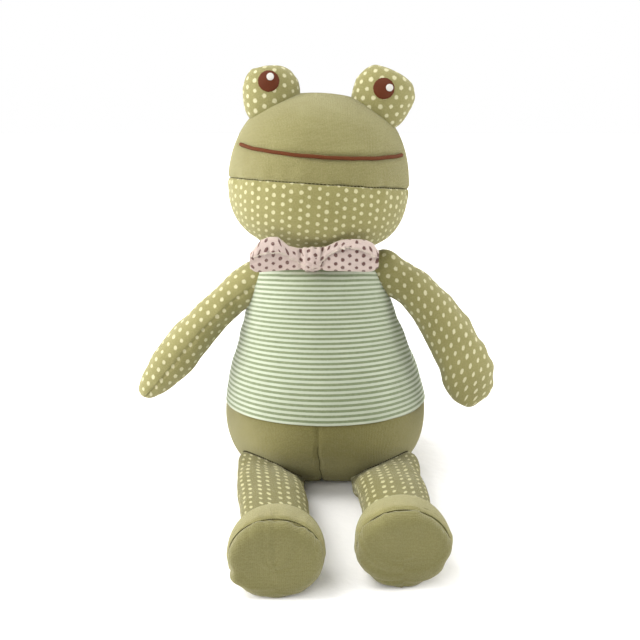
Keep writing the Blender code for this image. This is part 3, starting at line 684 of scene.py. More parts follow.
# the seam and root threads are dark olive: painted shade in the seams and creases they lie in
seam_shade_thread = thread_material("seam_shade_thread", (88, 84, 48), (62, 58, 32), 0.7)
root_shade_thread = thread_material("root_shade_thread", (66, 62, 34), (46, 44, 24), 0.7)
fray_thread = thread_material("fray_thread", (240, 230, 214), (226, 212, 196), 0.7)
hem_thread = thread_material("hem_thread", (120, 142, 118), (92, 112, 92), 0.7)


# Forms, as in the solid model

TORSO_HEIGHT, TORSO_WIDTH, TORSO_DEPTH, TORSO_LEAN = 0.1430, 0.1325, 0.126, 0.004
TORSO_BOTTOM = -0.0005
# height, width, depth and lean
TORSO_SHARES = (
    (0.0, 0.62, 0.60, 0.0),
    (0.03, 0.83, 0.76, 0.0),
    (0.137, 0.97, 0.93, 0.0),
    (0.275, 1.0, 1.0, 0.0),
    (0.443, 0.93, 0.95, 0.2),
    (0.612, 0.79, 0.82, 0.7),
    (0.781, 0.685, 0.71, 1.0),
    (0.915, 0.60, 0.69, 1.0),
    (0.985, 0.48, 0.63, 1.0),
    (1.0, 0.28, 0.36, 1.0),
)
HEAD_WIDTH, HEAD_DEPTH, HEAD_HEIGHT = 0.1100, 0.0960, 0.0960
# height and width
HEAD_SHARES = (
    (-1.0, 0.28), (-0.93, 0.60), (-0.72, 0.89), (-0.36, 1.01), (0.02, 1.01),
    (0.38, 0.94), (0.70, 0.80), (0.93, 0.52), (1.0, 0.24),
)
NECK = PIVOTS["neck_turn"]
HEAD_MIDDLE = NECK + Z * 0.0456
HEAD_TURN = turn_matrix(3.8, "Y") @ turn_matrix(-11.5, "X")
SEAM_UP = HEAD_TURN @ turn_matrix(-1.0, "X") @ Z
SEAM_PLACE = HEAD_MIDDLE + HEAD_TURN @ (Z * -0.125 * HEAD_HEIGHT / 2)

torso = Loft([
    (
        np.array([-TORSO_LEAN * lean, 0, TORSO_BOTTOM + height * TORSO_HEIGHT]),
        X * width * TORSO_WIDTH / 2, Y * depth * TORSO_DEPTH / 2,
    )
    for height, width, depth, lean in TORSO_SHARES
])
head = Loft([
    (
        HEAD_MIDDLE + HEAD_TURN @ (Z * height * HEAD_HEIGHT / 2),
        HEAD_TURN @ X * width * HEAD_WIDTH / 2, HEAD_TURN @ Y * width * HEAD_DEPTH / 2,
    )
    for height, width in HEAD_SHARES
])


# Head

HEAD_COLUMNS = 220
# shares near the seam, the first of the even ones and how many these are
CROWN_ROWS = (0, 0, 0.003, 0.010, 0.02), 0.03, 90
JAW_ROWS = (0, 0, 0.004, 0.012, 0.025), 0.04, 80
# height and size of lumps and folds, and how far those at the seam reach
CROWN_LUMPS, CROWN_CREASES, CROWN_PUCKERS = (0.0006, 0.030), (0.00025, 0.0065), (0.0007, 0.0058)
JAW_LUMPS, JAW_GATHERS, JAW_PUCKERS = (0.0007, 0.026), (0.0005, 0.008), (0.0009, 0.0052)
CROWN_REACH, JAW_REACH = 0.0075, 0.0080
CREASE_STRETCH, CREASES_FROM, GATHERS_FROM = (1, 1, 2.2), (0.0, -0.03), (-0.026, -0.040)
# height or depth and width of ridges and grooves
HEAD_SEAM, MOUTH_GROOVE, MOUTH_LIP = (0.0008, 0.0014), (0.0010, 0.0021), (0.0003, 0.0025)
LIP_PLACE, SEAM_TURNS, SEAM_SUNK, SEAM_STITCHES = 0.0045, (0.0040, 0.0014), 0.0007, 150
CHIN, CHIN_SQUASH, CHIN_SWELL = (-0.008, -0.036, 0.150), (0.7, 1, 1), (0.0010, 0.018)
MOUTH_POINTS, MOUTH_REACH, MOUTH_LEVEL, MOUTH_SMILE = 181, 0.80, 0.305, 0.0042
MOUTH_WANDER, MOUTH_RISE, MOUTH_LUMPS = (0.00014, 0.21, 0.047), 0.0002, (0.00012, 0.004)
MOUTH_STEPS, MOUTH_RADIUS, MOUTH_STRAND, MOUTH_SIDES = 420, 0.00105, 0.0026, 14
MOUTH_TIP, MOUTH_TAPER, STRAND_LOW, STRAND_HIGH = 0.55, 0.012, 0.92, 0.20


def seam_height(points):
    return (points - SEAM_PLACE) @ SEAM_UP


def head_seam_places(angles):
    return head.place_where(angles, seam_height, 0.0, 3, head.span - 3)


def head_cloth(end, near_edge, start, rows):
    """The crown's or the jaw's cloth, from the seam between them to an end of the head."""
    angles = around_angles(HEAD_COLUMNS)
    shares = edge_shares(near_edge, start, rows)
    return Cloth(head.between(angles, head_seam_places(angles), end, shares))


def mouth_line():
    """Points along the mouth on the head form, with outward normals."""
    heights = np.linspace(3, head.span - 3, 400)
    levels = (spline(head.rows, heights)[:, :3] - HEAD_MIDDLE) @ (HEAD_TURN @ Z)
    steps = np.arange(MOUTH_POINTS)
    share = 2 * steps / (MOUTH_POINTS - 1) - 1
    level = MOUTH_LEVEL * HEAD_HEIGHT / 2 - MOUTH_SMILE * (1 - share * share)
    high, fast, slow = MOUTH_WANDER
    level += high * np.sin(steps * fast) * np.sin(steps * slow + 1)
    rows = spline(head.rows, np.interp(level, levels, heights))
    x, y = np.sin(share * MOUTH_REACH * QUARTER), -np.cos(share * MOUTH_REACH * QUARTER)
    half_width, half_depth = (np.linalg.norm(rows[:, low:low + 3], axis=1) for low in (3, 6))
    reach = 1 / np.hypot(x / half_width, y / half_depth)
    points = rows[:, :3] + np.stack([x * reach, y * reach, 0 * x], axis=1) @ HEAD_TURN.T
    return points, unit(points - HEAD_MIDDLE)


mouth_points, mouth_outward = mouth_line()


def to_mouth(points):
    """Distance from points to the mouth line."""
    best = np.full(points.shape[:-1], 1.0)
    for place in mouth_points[::3]:
        best = np.minimum(best, distance(points, place))
    return best


def make_crown():
    cloth = head_cloth(head.span, *CROWN_ROWS)
    height, line = seam_height(cloth.points), to_mouth(cloth.points)
    front = smooth(*CREASES_FROM, cloth.points[..., 1])
    lift = PROUD + cloth.lumps(*CROWN_LUMPS, 1) - ridge(height, *HEAD_SEAM)
    lift += cloth.puckers(*CROWN_PUCKERS, 3) * bell(height, CROWN_REACH)
    lift += ridge(line - LIP_PLACE, *MOUTH_LIP) - ridge(line, *MOUTH_GROOVE)
    cloth.raise_by(lift + cloth.lumps(*CROWN_CREASES, 5, CREASE_STRETCH) * front)
    cloth.turn_in(*SEAM_TURNS)
    item = cloth.piece("crown_cloth", plain, first_pole=False)
    dress(item, "head", ("crown", "head_stuffing"))


def make_jaw():
    cloth = head_cloth(0.0, *JAW_ROWS)
    height = seam_height(cloth.points)
    lift = PROUD + cloth.lumps(*JAW_LUMPS, 2) - ridge(height, *HEAD_SEAM)
    lift += ridge(distance(cloth.points, CHIN, CHIN_SQUASH), *CHIN_SWELL)
    lift += cloth.puckers(*JAW_PUCKERS, 8) * bell(height, JAW_REACH)
    cloth.raise_by(lift + cloth.ruffles(*JAW_GATHERS, 9) * smooth(*GATHERS_FROM, height))
    cloth.turn_in(*SEAM_TURNS)
    item = cloth.piece("jaw_cloth", shaded_jaw_dotted, first_pole=False)
    dress(item, "head", ("jaw",))


def make_head_seam():
    """Small stitches down in the seam between crown and jaw, dark olive as painted shade in the
    seam.
    """
    angles = around_angles(SEAM_STITCHES)
    line = head.at(angles, head_seam_places(angles))
    outward = unit(line - HEAD_MIDDLE)
    item = stitches_along(
        "head_seam_shade_stitches", line - outward * SEAM_SUNK, outward, "head", seam_shade_thread
    )
    dress(item, "head")


def make_mouth():
    turns = np.linalg.norm(np.diff(mouth_points, axis=0), axis=1).sum() / MOUTH_STRAND
    dense = np.linspace(0, MOUTH_POINTS - 1, MOUTH_STEPS)
    path = spline(mouth_points, dense)
    outward = unit(spline(mouth_outward, dense))
    high, size = MOUTH_LUMPS
    path = path + outward * (MOUTH_RISE + high * noise(path, size, 12))[:, None]
    full = smooth(0, MOUTH_TAPER, np.minimum(dense, dense.max() - dense) / dense.max())
    radii = MOUTH_RADIUS * (MOUTH_TIP + (1 - MOUTH_TIP) * full)

    def twist(row, angle):
        strand = abs(math.sin(angle - TURN * turns * row / MOUTH_STEPS))
        return STRAND_LOW + STRAND_HIGH * strand

    item = tube_piece("mouth_stitching", path, radii, mouth_thread, MOUTH_SIDES, twist)
    dress(item, "head", ("mouth_cord",))


# Eyes: places are from the head's middle and from the mound's, in the mound's own directions

EYE_HEIGHT, EYE_DEPTH = 0.0350, 0.0250
EYE_COLUMNS, EYE_ROWS = 120, 60
EYE_LUMPS, EYE_PUCKERS, EYE_PUCKER_REACH = (0.0005, 0.014), (0.0006, 0.0042), 0.005
EYE_SEAM, EYE_SEAM_PLACE, EYE_SEAM_FROM = (0.0011, 0.0013), 0.0016, (-0.010, 0.006)
EYE_LEAN_FROM, EYE_PITCHES, EYE_DOT_RADIUS = (0.0, 0.012), (0.0052, 0.0052), 0.00112
NOTCH, NOTCH_WIDTH = (-0.0065, 0.0, 0.95 * EYE_HEIGHT / 2), 0.0030
PATCH_COLUMNS, PATCH_ROWS, PATCH_EDGE = 72, 20, -0.5
THREAD_ROW, THREAD_RIDGE, RAY_START = 0.0009, 0.00004, 0.04
# height, number and start of the waves round a patch
PATCH_WAVES = (0.012, 23, 0), (0.008, 11, 1)
# slot, thread, radius, height and seat of each stitched patch
EYE_PATCHES = {
    "iris": ("iris_brown", iris_thread, 0.0063, 0.0007, 0.0),
    "glint": ("white_thread", glint_thread, 0.0021, 0.0005, 0.0007),
}
EYES = {
    "left": dict(
        width=0.0345, place=(-0.0318, -0.0060, 0.0450), splay=-4.0, iris=(-0.0016, 0, 0.0080),
        glint=(0.0010, 0, 0.0024), lean=0.13, seed=21, notch=0.0024, shift=(0.2, 0.1),
        shares=((-1.0, 0.55), (-0.70, 0.92), (0.0, 1.04), (0.55, 0.98), (0.88, 0.74), (1.0, 0.40)),
    ),
    "right": dict(
        width=0.0370, place=(0.0348, -0.0060, 0.0475), splay=22.0, iris=(-0.0020, 0, 0.0052),
        glint=(0.0028, 0, 0.0018), lean=0.0, seed=22, notch=0.0, shift=(0.35, 0.4),
        shares=((-1.0, 0.50), (-0.70, 0.84), (0.0, 1.03), (0.50, 1.00), (0.86, 0.80), (1.0, 0.48)),
    ),
}


def mound_places(local, width):
    """Cloth places on a mound sewn from two halves, measured outwards from each half's middle."""
    reach = np.maximum(np.hypot(local[..., 0], local[..., 2]), 1e-9)
    half = (width + EYE_HEIGHT) / 4
    turn = np.arctan2(reach / half, np.abs(local[..., 1]) / (EYE_DEPTH / 2))
    length = turn * (half + EYE_DEPTH / 2) / 2
    return [closed(local[..., axis] / reach * length) for axis in (0, 2)]


def eye_patch(name, tree, place, own, radius, height, material, seat):
    """An embroidered round patch, a little domed, laid on the mound's front."""
    front = own @ -Y
    angles = np.arange(PATCH_COLUMNS + 1) * TURN / PATCH_COLUMNS
    parts = np.arange(PATCH_ROWS) / (PATCH_ROWS - 1)
    sizes = radius * np.minimum(1.0, parts * PATCH_ROWS / (PATCH_ROWS - 2))
    ragged = 1 + sum(high * np.sin(angles * waves + start) for high, waves, start in PATCH_WAVES)
    around, along = np.outer(sizes, np.cos(angles)), np.outer(sizes, np.sin(angles))
    points = np.zeros((PATCH_ROWS, PATCH_COLUMNS, 3))
    for row, column in np.ndindex(PATCH_ROWS, PATCH_COLUMNS):
        across = own @ (X * around[row, column] + Z * along[row, column]) * ragged[column]
        start = place + across + front * RAY_START
        hit, normal, _, _ = tree.ray_cast(Vector(start), Vector(-front))
        dome = PATCH_EDGE if row == PATCH_ROWS - 1 else math.sqrt(1 - parts[row] ** 4)
        thread = THREAD_RIDGE * math.sin(TURN * along[row, column] / THREAD_ROW)
        points[row, column] = np.array(hit) + np.array(normal) * (seat + height * dome + thread)
    return grid_piece(name, points, material, around, along, last_pole=False)


def make_eye(side):
    facts = EYES[side]
    own = HEAD_TURN @ turn_matrix(facts["splay"], "Y")
    centre = HEAD_MIDDLE + HEAD_TURN @ np.array(facts["place"])
    form = Loft([
        (
            centre + own @ (Z * height * EYE_HEIGHT / 2),
            own @ X * width * facts["width"] / 2, own @ Y * width ** 0.9 * EYE_DEPTH / 2,
        )
        for height, width in facts["shares"]
    ])
    local = (form.whole(EYE_COLUMNS, EYE_ROWS) - centre) @ own
    inner = smooth(*EYE_LEAN_FROM, local[..., 0])
    local[..., 0] *= 1 - facts["lean"] * inner * local[..., 2] / (EYE_HEIGHT / 2)
    cloth = Cloth(centre + local @ own.T)
    cloth.around, cloth.along = mound_places(local, facts["width"])
    seam = local[..., 1] - EYE_SEAM_PLACE
    pucker_high, pucker_size = EYE_PUCKERS
    puckers = pucker_high * noise_of(local[..., 0], local[..., 2], pucker_size, 25)
    sewn = puckers * bell(seam, EYE_PUCKER_REACH) - ridge(seam, *EYE_SEAM)
    lift = PROUD + cloth.lumps(*EYE_LUMPS, facts["seed"])
    lift += sewn * smooth(*EYE_SEAM_FROM, local[..., 2])
    cloth.raise_by(lift - ridge(distance(local, NOTCH), facts["notch"], NOTCH_WIDTH))
    material = dotted_cloth(
        f"eye_dotted_cloth_{side}", LIMB_OLIVE, LIMB_DOT, EYE_PITCHES, EYE_DOT_RADIUS,
        shift=facts["shift"],
    )
    item = cloth.piece(f"eye_cloth_{side}", material)
    solids = f"eye_mound_{side}", f"eye_stuffing_{side}"
    dress(item, "head", solids)
    tree, place = tree_of(item), centre
    for kind, (slot, thread, radius, height, seat) in EYE_PATCHES.items():
        place = place + own @ np.array(facts[kind])
        name = f"{kind}_stitched_{side}"
        patch = eye_patch(name, tree, place, own, radius, height, thread, seat)
        dress(patch, "head", (f"{kind}_{side}",))


make_crown()
make_jaw()
make_head_seam()
make_mouth()
for side in SIDES:
    make_eye(side)


# Body

HIPS = {side: PIVOTS[f"hip_{side}_lift"] for side in SIDES}
BODY_COLUMNS, HIP_ROWS, SHIRT_ROWS = 240, 70, ((0, 0, 0, 0.002, 0.006, 0.012), 0.018, 150)
HEM, CHEST = 0.0445, 0.130
HEM_SLOPE, CHEST_SLOPE = (math.tan(math.radians(degrees)) for degrees in (6.5, 17.0))
SLOPE_RISE = (CHEST_SLOPE - HEM_SLOPE) / (CHEST - HEM)
STRIPE_LOW, STRIPE_HIGH, STRIPE_SPAN, FLAT_FROM = 0.00292, 0.00268, (-0.5, 1.4), (0.134, 0.139)
# height and size of lumps and folds, and how far those at a seam reach
SHIRT_LUMPS, SHIRT_STRETCH, NECK_FOLDS = (0.0009, 0.030), (1, 1, 0.6), (0.0007, 0.0075)
SIDE_PUCKERS, HEM_WAVES, NECK_FOLDS_FROM = (0.0005, 0.007), (0.0005, 0.016), (0.108, 0.132)
SIDE_REACH, HEM_REACH, SHIRT_EASE, HEM_TURNS = 0.007, 0.010, 0.0009, (0.0030, 0.0012)
HIP_LUMPS, HIP_CREASES, HIP_REACH, HIP_EASE = (0.0006, 0.028), (0.0006, 0.006), 0.007, 0.0001
# height or depth and width of ridges and grooves
SIDE_SEAM, SIDE_SEAM_Y, HIP_SEAM, HIP_FRONT = (0.0008, 0.0012), 0.002, (0.0015, 0.0008), (0.0, 0.01)
SHIRT_FOLD, FOLD_SQUASH, FOLD_APART = (0.0475, -0.010, 0.088), (1, 1, 0.42), 0.011
FOLD_RIDGE, FOLD_HOLLOW = (0.0016, 0.010), (0.0010, 0.004)
CROTCH, CROTCH_SQUASH, CROTCH_HOLLOW = (0.0, -0.050, 0.004), (0.45, 1, 1), (0.0030, 0.011)
OVER_HIP, HIP_SQUASH, HIP_SWELL = np.array([0, -0.004, 0.013]), (0.55, 0.5, 1), (0.0028, 0.012)
UNDER_HEM, HEM_PRESS, PRESSED, HEM_SUNK = 0.002, 0.0006, (HEM - 0.004, HEM + 0.001), 0.0006
# the seam down the hips: its x, its bend to one side and where that is, and its waves
HIP_X, HIP_BEND, BEND_FROM, HIP_WANDER = -0.0048, 0.0024, (0.036, 0.004), (0.0003, 420)
HIP_STITCHES, HIP_STITCHED, HIP_RAISED, IN_FRONT = 42, (0.0375, 0.0035), 0.0001, -0.2
NECK_COLUMNS, NECK_ROWS, NECK_PLEATS = 90, 30, (0.0006, 0.004)
# height and radius
NECK_RINGS = ((-0.016, 0.020), (-0.010, 0.024), (0.0, 0.0245), (0.010, 0.024), (0.016, 0.020))


def shirt_level(points):
    """The height at which a straight thread of the shirt crosses the middle of the body."""
    y, z = points[..., 1], points[..., 2]
    return (z + y * (HEM_SLOPE - SLOPE_RISE * HEM)) / (1 - y * SLOPE_RISE)


def hem_places(angles, level):
    return torso.place_where(angles, shirt_level, level, 2.5, torso.span - 2)


def stripe_turns(level, along):
    """Stripes counted up from the hem; near the top, where cloth lies flat, by its own length."""
    level = closed(level)
    part = np.clip((level - HEM) / (CHEST - HEM), *STRIPE_SPAN)
    turns = (level - HEM) / (STRIPE_LOW + (STRIPE_HIGH - STRIPE_LOW) * part / 2)
    flatter = np.abs(np.diff(along, axis=0)) - np.abs(np.diff(level, axis=0))
    flatter = flatter * smooth(*FLAT_FROM, level[1:]) / STRIPE_HIGH
    turns[1:] += np.cumsum(np.maximum(flatter, 0), axis=0)
    return turns


def make_shirt():
    angles = around_angles(BODY_COLUMNS)
    shares = edge_shares(*SHIRT_ROWS)
    cloth = Cloth(torso.between(angles, hem_places(angles, HEM), torso.span, shares))
    level = shirt_level(cloth.points)
    away = distance(cloth.points, SHIRT_FOLD, FOLD_SQUASH)
    seam = np.abs(cloth.points[..., 1] - SIDE_SEAM_Y)
    pucker_high, pucker_size = SIDE_PUCKERS
    puckers = pucker_high * noise_of(level, 0, pucker_size, 33)
    lift = SHIRT_EASE + cloth.lumps(*SHIRT_LUMPS, 31, SHIRT_STRETCH)
    lift += ridge(away, *FOLD_RIDGE) - ridge(away - FOLD_APART, *FOLD_HOLLOW)
    lift += puckers * bell(seam, SIDE_REACH) - ridge(seam, *SIDE_SEAM)
    lift += cloth.ruffles(*NECK_FOLDS, 36, level * FOLD_DRIFT) * smooth(*NECK_FOLDS_FROM, level)
    cloth.raise_by(lift + cloth.ruffles(*HEM_WAVES, 37) * bell(level - HEM, HEM_REACH))
    cloth.turn_in(*HEM_TURNS)
    cloth.along = stripe_turns(level, cloth.along)
    item = cloth.piece("shirt_cloth", striped, first_pole=False)
    solids = "shirt_front", "shirt_back", "body_stuffing"
    dress(item, "torso", solids)
    stitches = stitches_along(
        "hem_stitches", cloth.points[3], cloth.normals[3], "hem", hem_thread, -HEM_SUNK
    )
    dress(stitches, "torso")


def hip_seam_x(z):
    """How the seam down the front of the hips wanders."""
    high, waves = HIP_WANDER
    return HIP_X + HIP_BEND * smooth(*BEND_FROM, z) - high * np.sin(z * waves)


def make_hips():
    angles = around_angles(BODY_COLUMNS)
    hem = hem_places(angles, HEM + UNDER_HEM)
    cloth = Cloth(torso.between(angles, hem, 0.0, np.linspace(0, 1, HIP_ROWS)))
    x, y, z = np.moveaxis(cloth.points, 2, 0)
    middle = x - hip_seam_x(z)
    crease_high, crease_size = HIP_CREASES
    creases = crease_high * noise_of(z, x * FOLD_DRIFT, crease_size, 43)
    sewn = creases * bell(middle, HIP_REACH) - ridge(middle, *HIP_SEAM)
    lift = HIP_EASE + cloth.lumps(*HIP_LUMPS, 41) + sewn * smooth(*HIP_FRONT, np.abs(y))
    lift -= ridge(distance(cloth.points, CROTCH, CROTCH_SQUASH), *CROTCH_HOLLOW)
    lift -= HEM_PRESS * smooth(*PRESSED, shirt_level(cloth.points))
    for hip in HIPS.values():
        lift += ridge(distance(cloth.points, hip + OVER_HIP, HIP_SQUASH), *HIP_SWELL)
    cloth.raise_by(lift)
    cloth.keep_off_floor()
    item = cloth.piece("hip_cloth", shaded_hip_plain, first_pole=False)
    dress(item, "torso", ("hip_left", "hip_right", "seat_base"))
    return tree_of(item)


def make_hip_seam():
    """Small stitches down in the seam between the hip panels, dark olive as painted shade in the
    seam.
    """
    line = []
    outward = []
    for height in np.linspace(*HIP_STITCHED, HIP_STITCHES):
        start = Vector((hip_seam_x(height), IN_FRONT, height))
        hit, normal, _, _ = hip_tree.ray_cast(start, Vector(Y))
        line.append(hit)
        outward.append(normal * (-1 if normal.y > 0 else 1))
    item = stitches_along(
        "hip_seam_shade_stitches", np.array(line), np.array(outward), "hip", seam_shade_thread,
        HIP_RAISED, slice(-1),
    )
    dress(item, "torso")


def make_neck():
    form = Loft([(NECK + Z * height, X * size, Y * size) for height, size in NECK_RINGS])
    cloth = Cloth(form.whole(NECK_COLUMNS, NECK_ROWS))
    cloth.raise_by(cloth.ruffles(*NECK_PLEATS, 51))
    item = cloth.piece("neck_cloth", shaded_jaw_dotted)
    dress(item, "neck", ("neck_stuffing",))


make_shirt()
hip_tree = make_hips()
make_hip_seam()
make_neck()


# Arms

ARM_LENGTH, ARM_WIDTH, ARM_THICKNESS = 0.100, 0.0250, 0.0260
ARM_LUMPS, ARM_FINE, ARM_PINCHES = (0.0010, 0.018), (0.0005, 0.008), (0.0008, 0.0065)
ARM_SEAM, ARM_SEAM_RADIUS, ARM_REACH = (0.0012, 0.0008), 0.0125, 0.0055
ARM_COLUMNS, ARM_ROWS, ARM_BENDS = 110, 170, (0.008, 0.016)
SHOULDERS = {side: PIVOTS[f"shoulder_{side}"] for side in SIDES}
# place outwards, to the back and up, width and thickness
ARM_SHARES = {
    "left": (
        (-0.100, 0.0, 0.080, 0.28, 0.28),
        (-0.072, 0.0, 0.058, 0.68, 0.68),
        (-0.010, 0.0, 0.010, 0.98, 0.98),
        (0.120, -0.03, -0.052, 0.89, 0.92),
        (0.270, -0.06, -0.188, 0.88, 0.92),
        (0.411, -0.10, -0.318, 0.98, 1.02),
        (0.545, -0.15, -0.475, 1.03, 1.06),
        (0.668, -0.19, -0.622, 0.84, 0.86),
        (0.740, -0.21, -0.708, 0.42, 0.44),
    ),
    "right": (
        (-0.125, 0.0, 0.050, 0.28, 0.28),
        (-0.090, 0.0, 0.038, 0.68, 0.68),
        (-0.015, 0.0, 0.012, 0.98, 0.98),
        (0.125, -0.02, -0.014, 0.96, 0.94),
        (0.272, -0.06, -0.119, 1.03, 0.98),
        (0.402, -0.11, -0.275, 1.20, 1.0),
        (0.520, -0.15, -0.450, 1.28, 0.98),
        (0.592, -0.19, -0.640, 1.40, 0.92),
        (0.605, -0.21, -0.775, 1.06, 0.70),
        (0.597, -0.22, -0.828, 0.52, 0.38),
    ),
}
ARM_SEAMS = {"left": math.pi * 1.42, "right": math.pi * 0.02}
# place, depth and width of each dent, or with a depth below zero each bulge
ARM_DENTS = {
    "left": (((-0.066, -0.018, 0.098), 0.0016, 0.006), ((-0.1150, -0.020, 0.0560), -0.0022, 0.005)),
    "right": (
        ((0.062, -0.018, 0.104), 0.0026, 0.008), ((0.074, -0.020, 0.070), 0.0012, 0.006),
        ((0.0991, -0.022, 0.0504), 0.0032, 0.0040), ((0.0905, -0.024, 0.0475), -0.0010, 0.0040),
        ((0.0545, -0.002, 0.1380), 0.0018, 0.0090), ((0.0400, -0.004, 0.1430), -0.0030, 0.0070),
    ),
}
ARM_SEEDS = {"left": 61, "right": 71}


def dents(points, spots):
    return sum(ridge(distance(points, place), depth, width) for place, depth, width in spots)


def join(item, limb, pivot, along, before, after):
    """Bakes a limb's cloth into its place in the world."""
    tuple(pivot - along * before)
    tuple(pivot + along * after)
    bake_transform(item)


def make_arm(side):
    pivot, shares, seed = SHOULDERS[side], ARM_SHARES[side], ARM_SEEDS[side]
    places = [
        pivot + ARM_LENGTH * np.array([OUTWARDS[side] * out, back, up])
        for out, back, up, *_ in shares
    ]
    rings = []
    for number, (place, share) in enumerate(zip(places, shares)):
        along = unit(places[min(number + 1, len(places) - 1)] - places[max(number - 1, 0)])
        thick = unit(np.cross(np.cross(along, X * OUTWARDS[side]), along))
        flat = np.cross(along, thick)
        rings.append((place, thick * share[3] * ARM_WIDTH / 2, flat * share[4] * ARM_THICKNESS / 2))
    first = -OUTWARDS[side] * QUARTER
    cloth = Cloth(Loft(rings).whole(ARM_COLUMNS, ARM_ROWS, first))
    turned = around_angles(ARM_COLUMNS, first) - ARM_SEAMS[side] + math.pi
    off = np.broadcast_to(np.abs(turned % TURN - math.pi) * ARM_SEAM_RADIUS, cloth.points.shape[:2])
    pinch_high, pinch_size = ARM_PINCHES
    pinches = pinch_high * noise_of(cloth.along[:, :-1], 0, pinch_size, seed + 2)
    lift = PROUD + cloth.lumps(*ARM_LUMPS, seed) + cloth.lumps(*ARM_FINE, seed + 1)
    lift += pinches * bell(off, ARM_REACH) - ridge(off, *ARM_SEAM)
    cloth.raise_by(lift - dents(cloth.points, ARM_DENTS[side]))
    item = cloth.piece(f"arm_cloth_{side}", limb_dotted)
    dress(item, None, (f"arm_{side}", f"arm_stuffing_{side}"))
    join(item, f"arm_{side}", pivot, unit(places[3] - pivot), *ARM_BENDS)


for side in SIDES:
    make_arm(side)


# Legs

LEG_WIDTH, LEG_THICKNESS, LEG_SQUARE = 0.0400, 0.0320, 0.86
ANKLES = {side: PIVOTS[f"ankle_{side}_flex"] for side in SIDES}
# place along the leg, width and thickness
LEG_SHARES = ((0.250, 1.0, 0.86), (0.560, 1.0, 1.04), (0.840, 0.93, 1.02), (1.0, 0.94, 1.0))
# place beyond the ankle and size
LEG_END_SHARES = ((0.76, 0.68), (1.0, 0.34))
# place along the leg, shift inwards, width, thickness, skew and tilt in degrees, and drop
LEG_ROOT = (
    (-0.29, 0.0130, 0.58, 0.30, 34, 8, 0.0006),
    (-0.22, 0.0050, 1.02, 0.48, 34, 12, 0.0012),
    (-0.13, 0.0010, 1.26, 0.60, 34, 12, 0.0014),
    (-0.03, 0.0, 1.17, 0.67, 27, 8, 0.0010),
    (0.10, 0.0, 1.05, 0.76, 14, 3, 0.0004),
)
LEG_LUMPS, LEG_FINE, LEG_GATHERS = (0.0009, 0.020), (0.0004, 0.008), (0.0008, 0.0055)
LEG_GATHER_PLACE, LEG_REACH, LEG_BENDS = 0.012, 0.012, (0.006, 0.014)
LEG_COLUMNS, LEG_ROWS, LEG_SEEDS = 120, 140, {"left": 81, "right": 91}
# where and how the dark thread of painted shade lies in the crease between leg and hip
LEG_SEAM_COLUMNS, LEG_SEAM_ROWS = (0.27, 0.74), (4, 0.6)
LEG_SHADE_STEP, LEG_SEAM_RAISED = 0.0017, Z * 0.0007 - Y * 0.0002


def make_leg(side):
    hip, ankle, outer, seed = HIPS[side], ANKLES[side], OUTWARDS[side], LEG_SEEDS[side]
    along = ankle - hip
    direction = unit(along)
    places = [
        (hip + along * share - X * outer * inward - Z * drop, wide, thick, skew, tilt)
        for share, inward, wide, thick, skew, tilt, drop in LEG_ROOT
    ]
    places += [(hip + along * share, wide, thick, 0, 0) for share, wide, thick in LEG_SHARES]
    places += [
        (ankle + direction * reach * LEG_THICKNESS / 2, size, size * LEG_SHARES[-1][2], 0, 0)
        for reach, size in LEG_END_SHARES
    ]
    rings = []
    for place, wide, thick, skew, tilt in places:
        level = turn_matrix(skew * outer, "Z") @ turn_matrix(-tilt * outer, "Y")
        rings.append((place, level @ X * wide * LEG_WIDTH / 2, Z * thick * LEG_THICKNESS / 2))
    cloth = Cloth(Loft(rings, LEG_SQUARE).whole(LEG_COLUMNS, LEG_ROWS, -QUARTER))
    near_hip = cloth.points[..., 1] - hip[1] + LEG_GATHER_PLACE
    lift = PROUD + cloth.lumps(*LEG_LUMPS, seed) + cloth.lumps(*LEG_FINE, seed + 1)
    cloth.raise_by(lift + cloth.ruffles(*LEG_GATHERS, seed + 2) * bell(near_hip, LEG_REACH))
    cloth.keep_off_floor()
    item = cloth.piece(f"leg_cloth_{side}", shaded_leg_dotted)
    dress(item, None, (f"leg_{side}", f"leg_stuffing_{side}"))
    join(item, f"leg_{side}", hip, direction, *LEG_BENDS)
    make_leg_seam_shade(side, cloth.points)


def above_hip(point):
    """How far a point is outside the hip cloth, and the cloth's outward normal there."""
    hit, normal, _, _ = hip_tree.find_nearest(Vector(point))
    return (Vector(point) - hit).dot(normal), np.array(normal)


def make_leg_seam_shade(side, points):
    """A dark thread in the crease where the top of a leg is sewn to the hip: painted shade in that
    crease.
    """
    rows, columns = points.shape[:2]
    line = []
    outward = []
    for column in range(*(int(share * columns) for share in LEG_SEAM_COLUMNS)):
        before = None
        for row in range(int(LEG_SEAM_ROWS[1] * rows), LEG_SEAM_ROWS[0], -1):
            beyond, normal = above_hip(points[row, column])
            if beyond < 0:
                part = before / (before - beyond)
                line.append(points[row + 1, column] * (1 - part) + points[row, column] * part)
                outward.append(normal)
                break
            before = beyond
    line, outward = np.array(line), np.array(outward)
    for _ in range(3):
        line[1:-1] = (line[:-2] + line[1:-1] * 2 + line[2:]) / 4
    reach = np.concatenate([[0], np.cumsum(np.linalg.norm(np.diff(line, axis=0), axis=1))])
    even = np.linspace(0, reach[-1], int(reach[-1] / LEG_SHADE_STEP))
    line, outward = (
        np.stack([np.interp(even, reach, field[:, axis]) for axis in range(3)], axis=1)
        for field in (line, outward)
    )
    stitches = stitches_along(
        f"leg_seam_shade_stitches_{side}", line + LEG_SEAM_RAISED, unit(unit(outward) + Z), "leg",
        root_shade_thread, kept=slice(-1),
    )
    dress(stitches, "torso")


# Feet

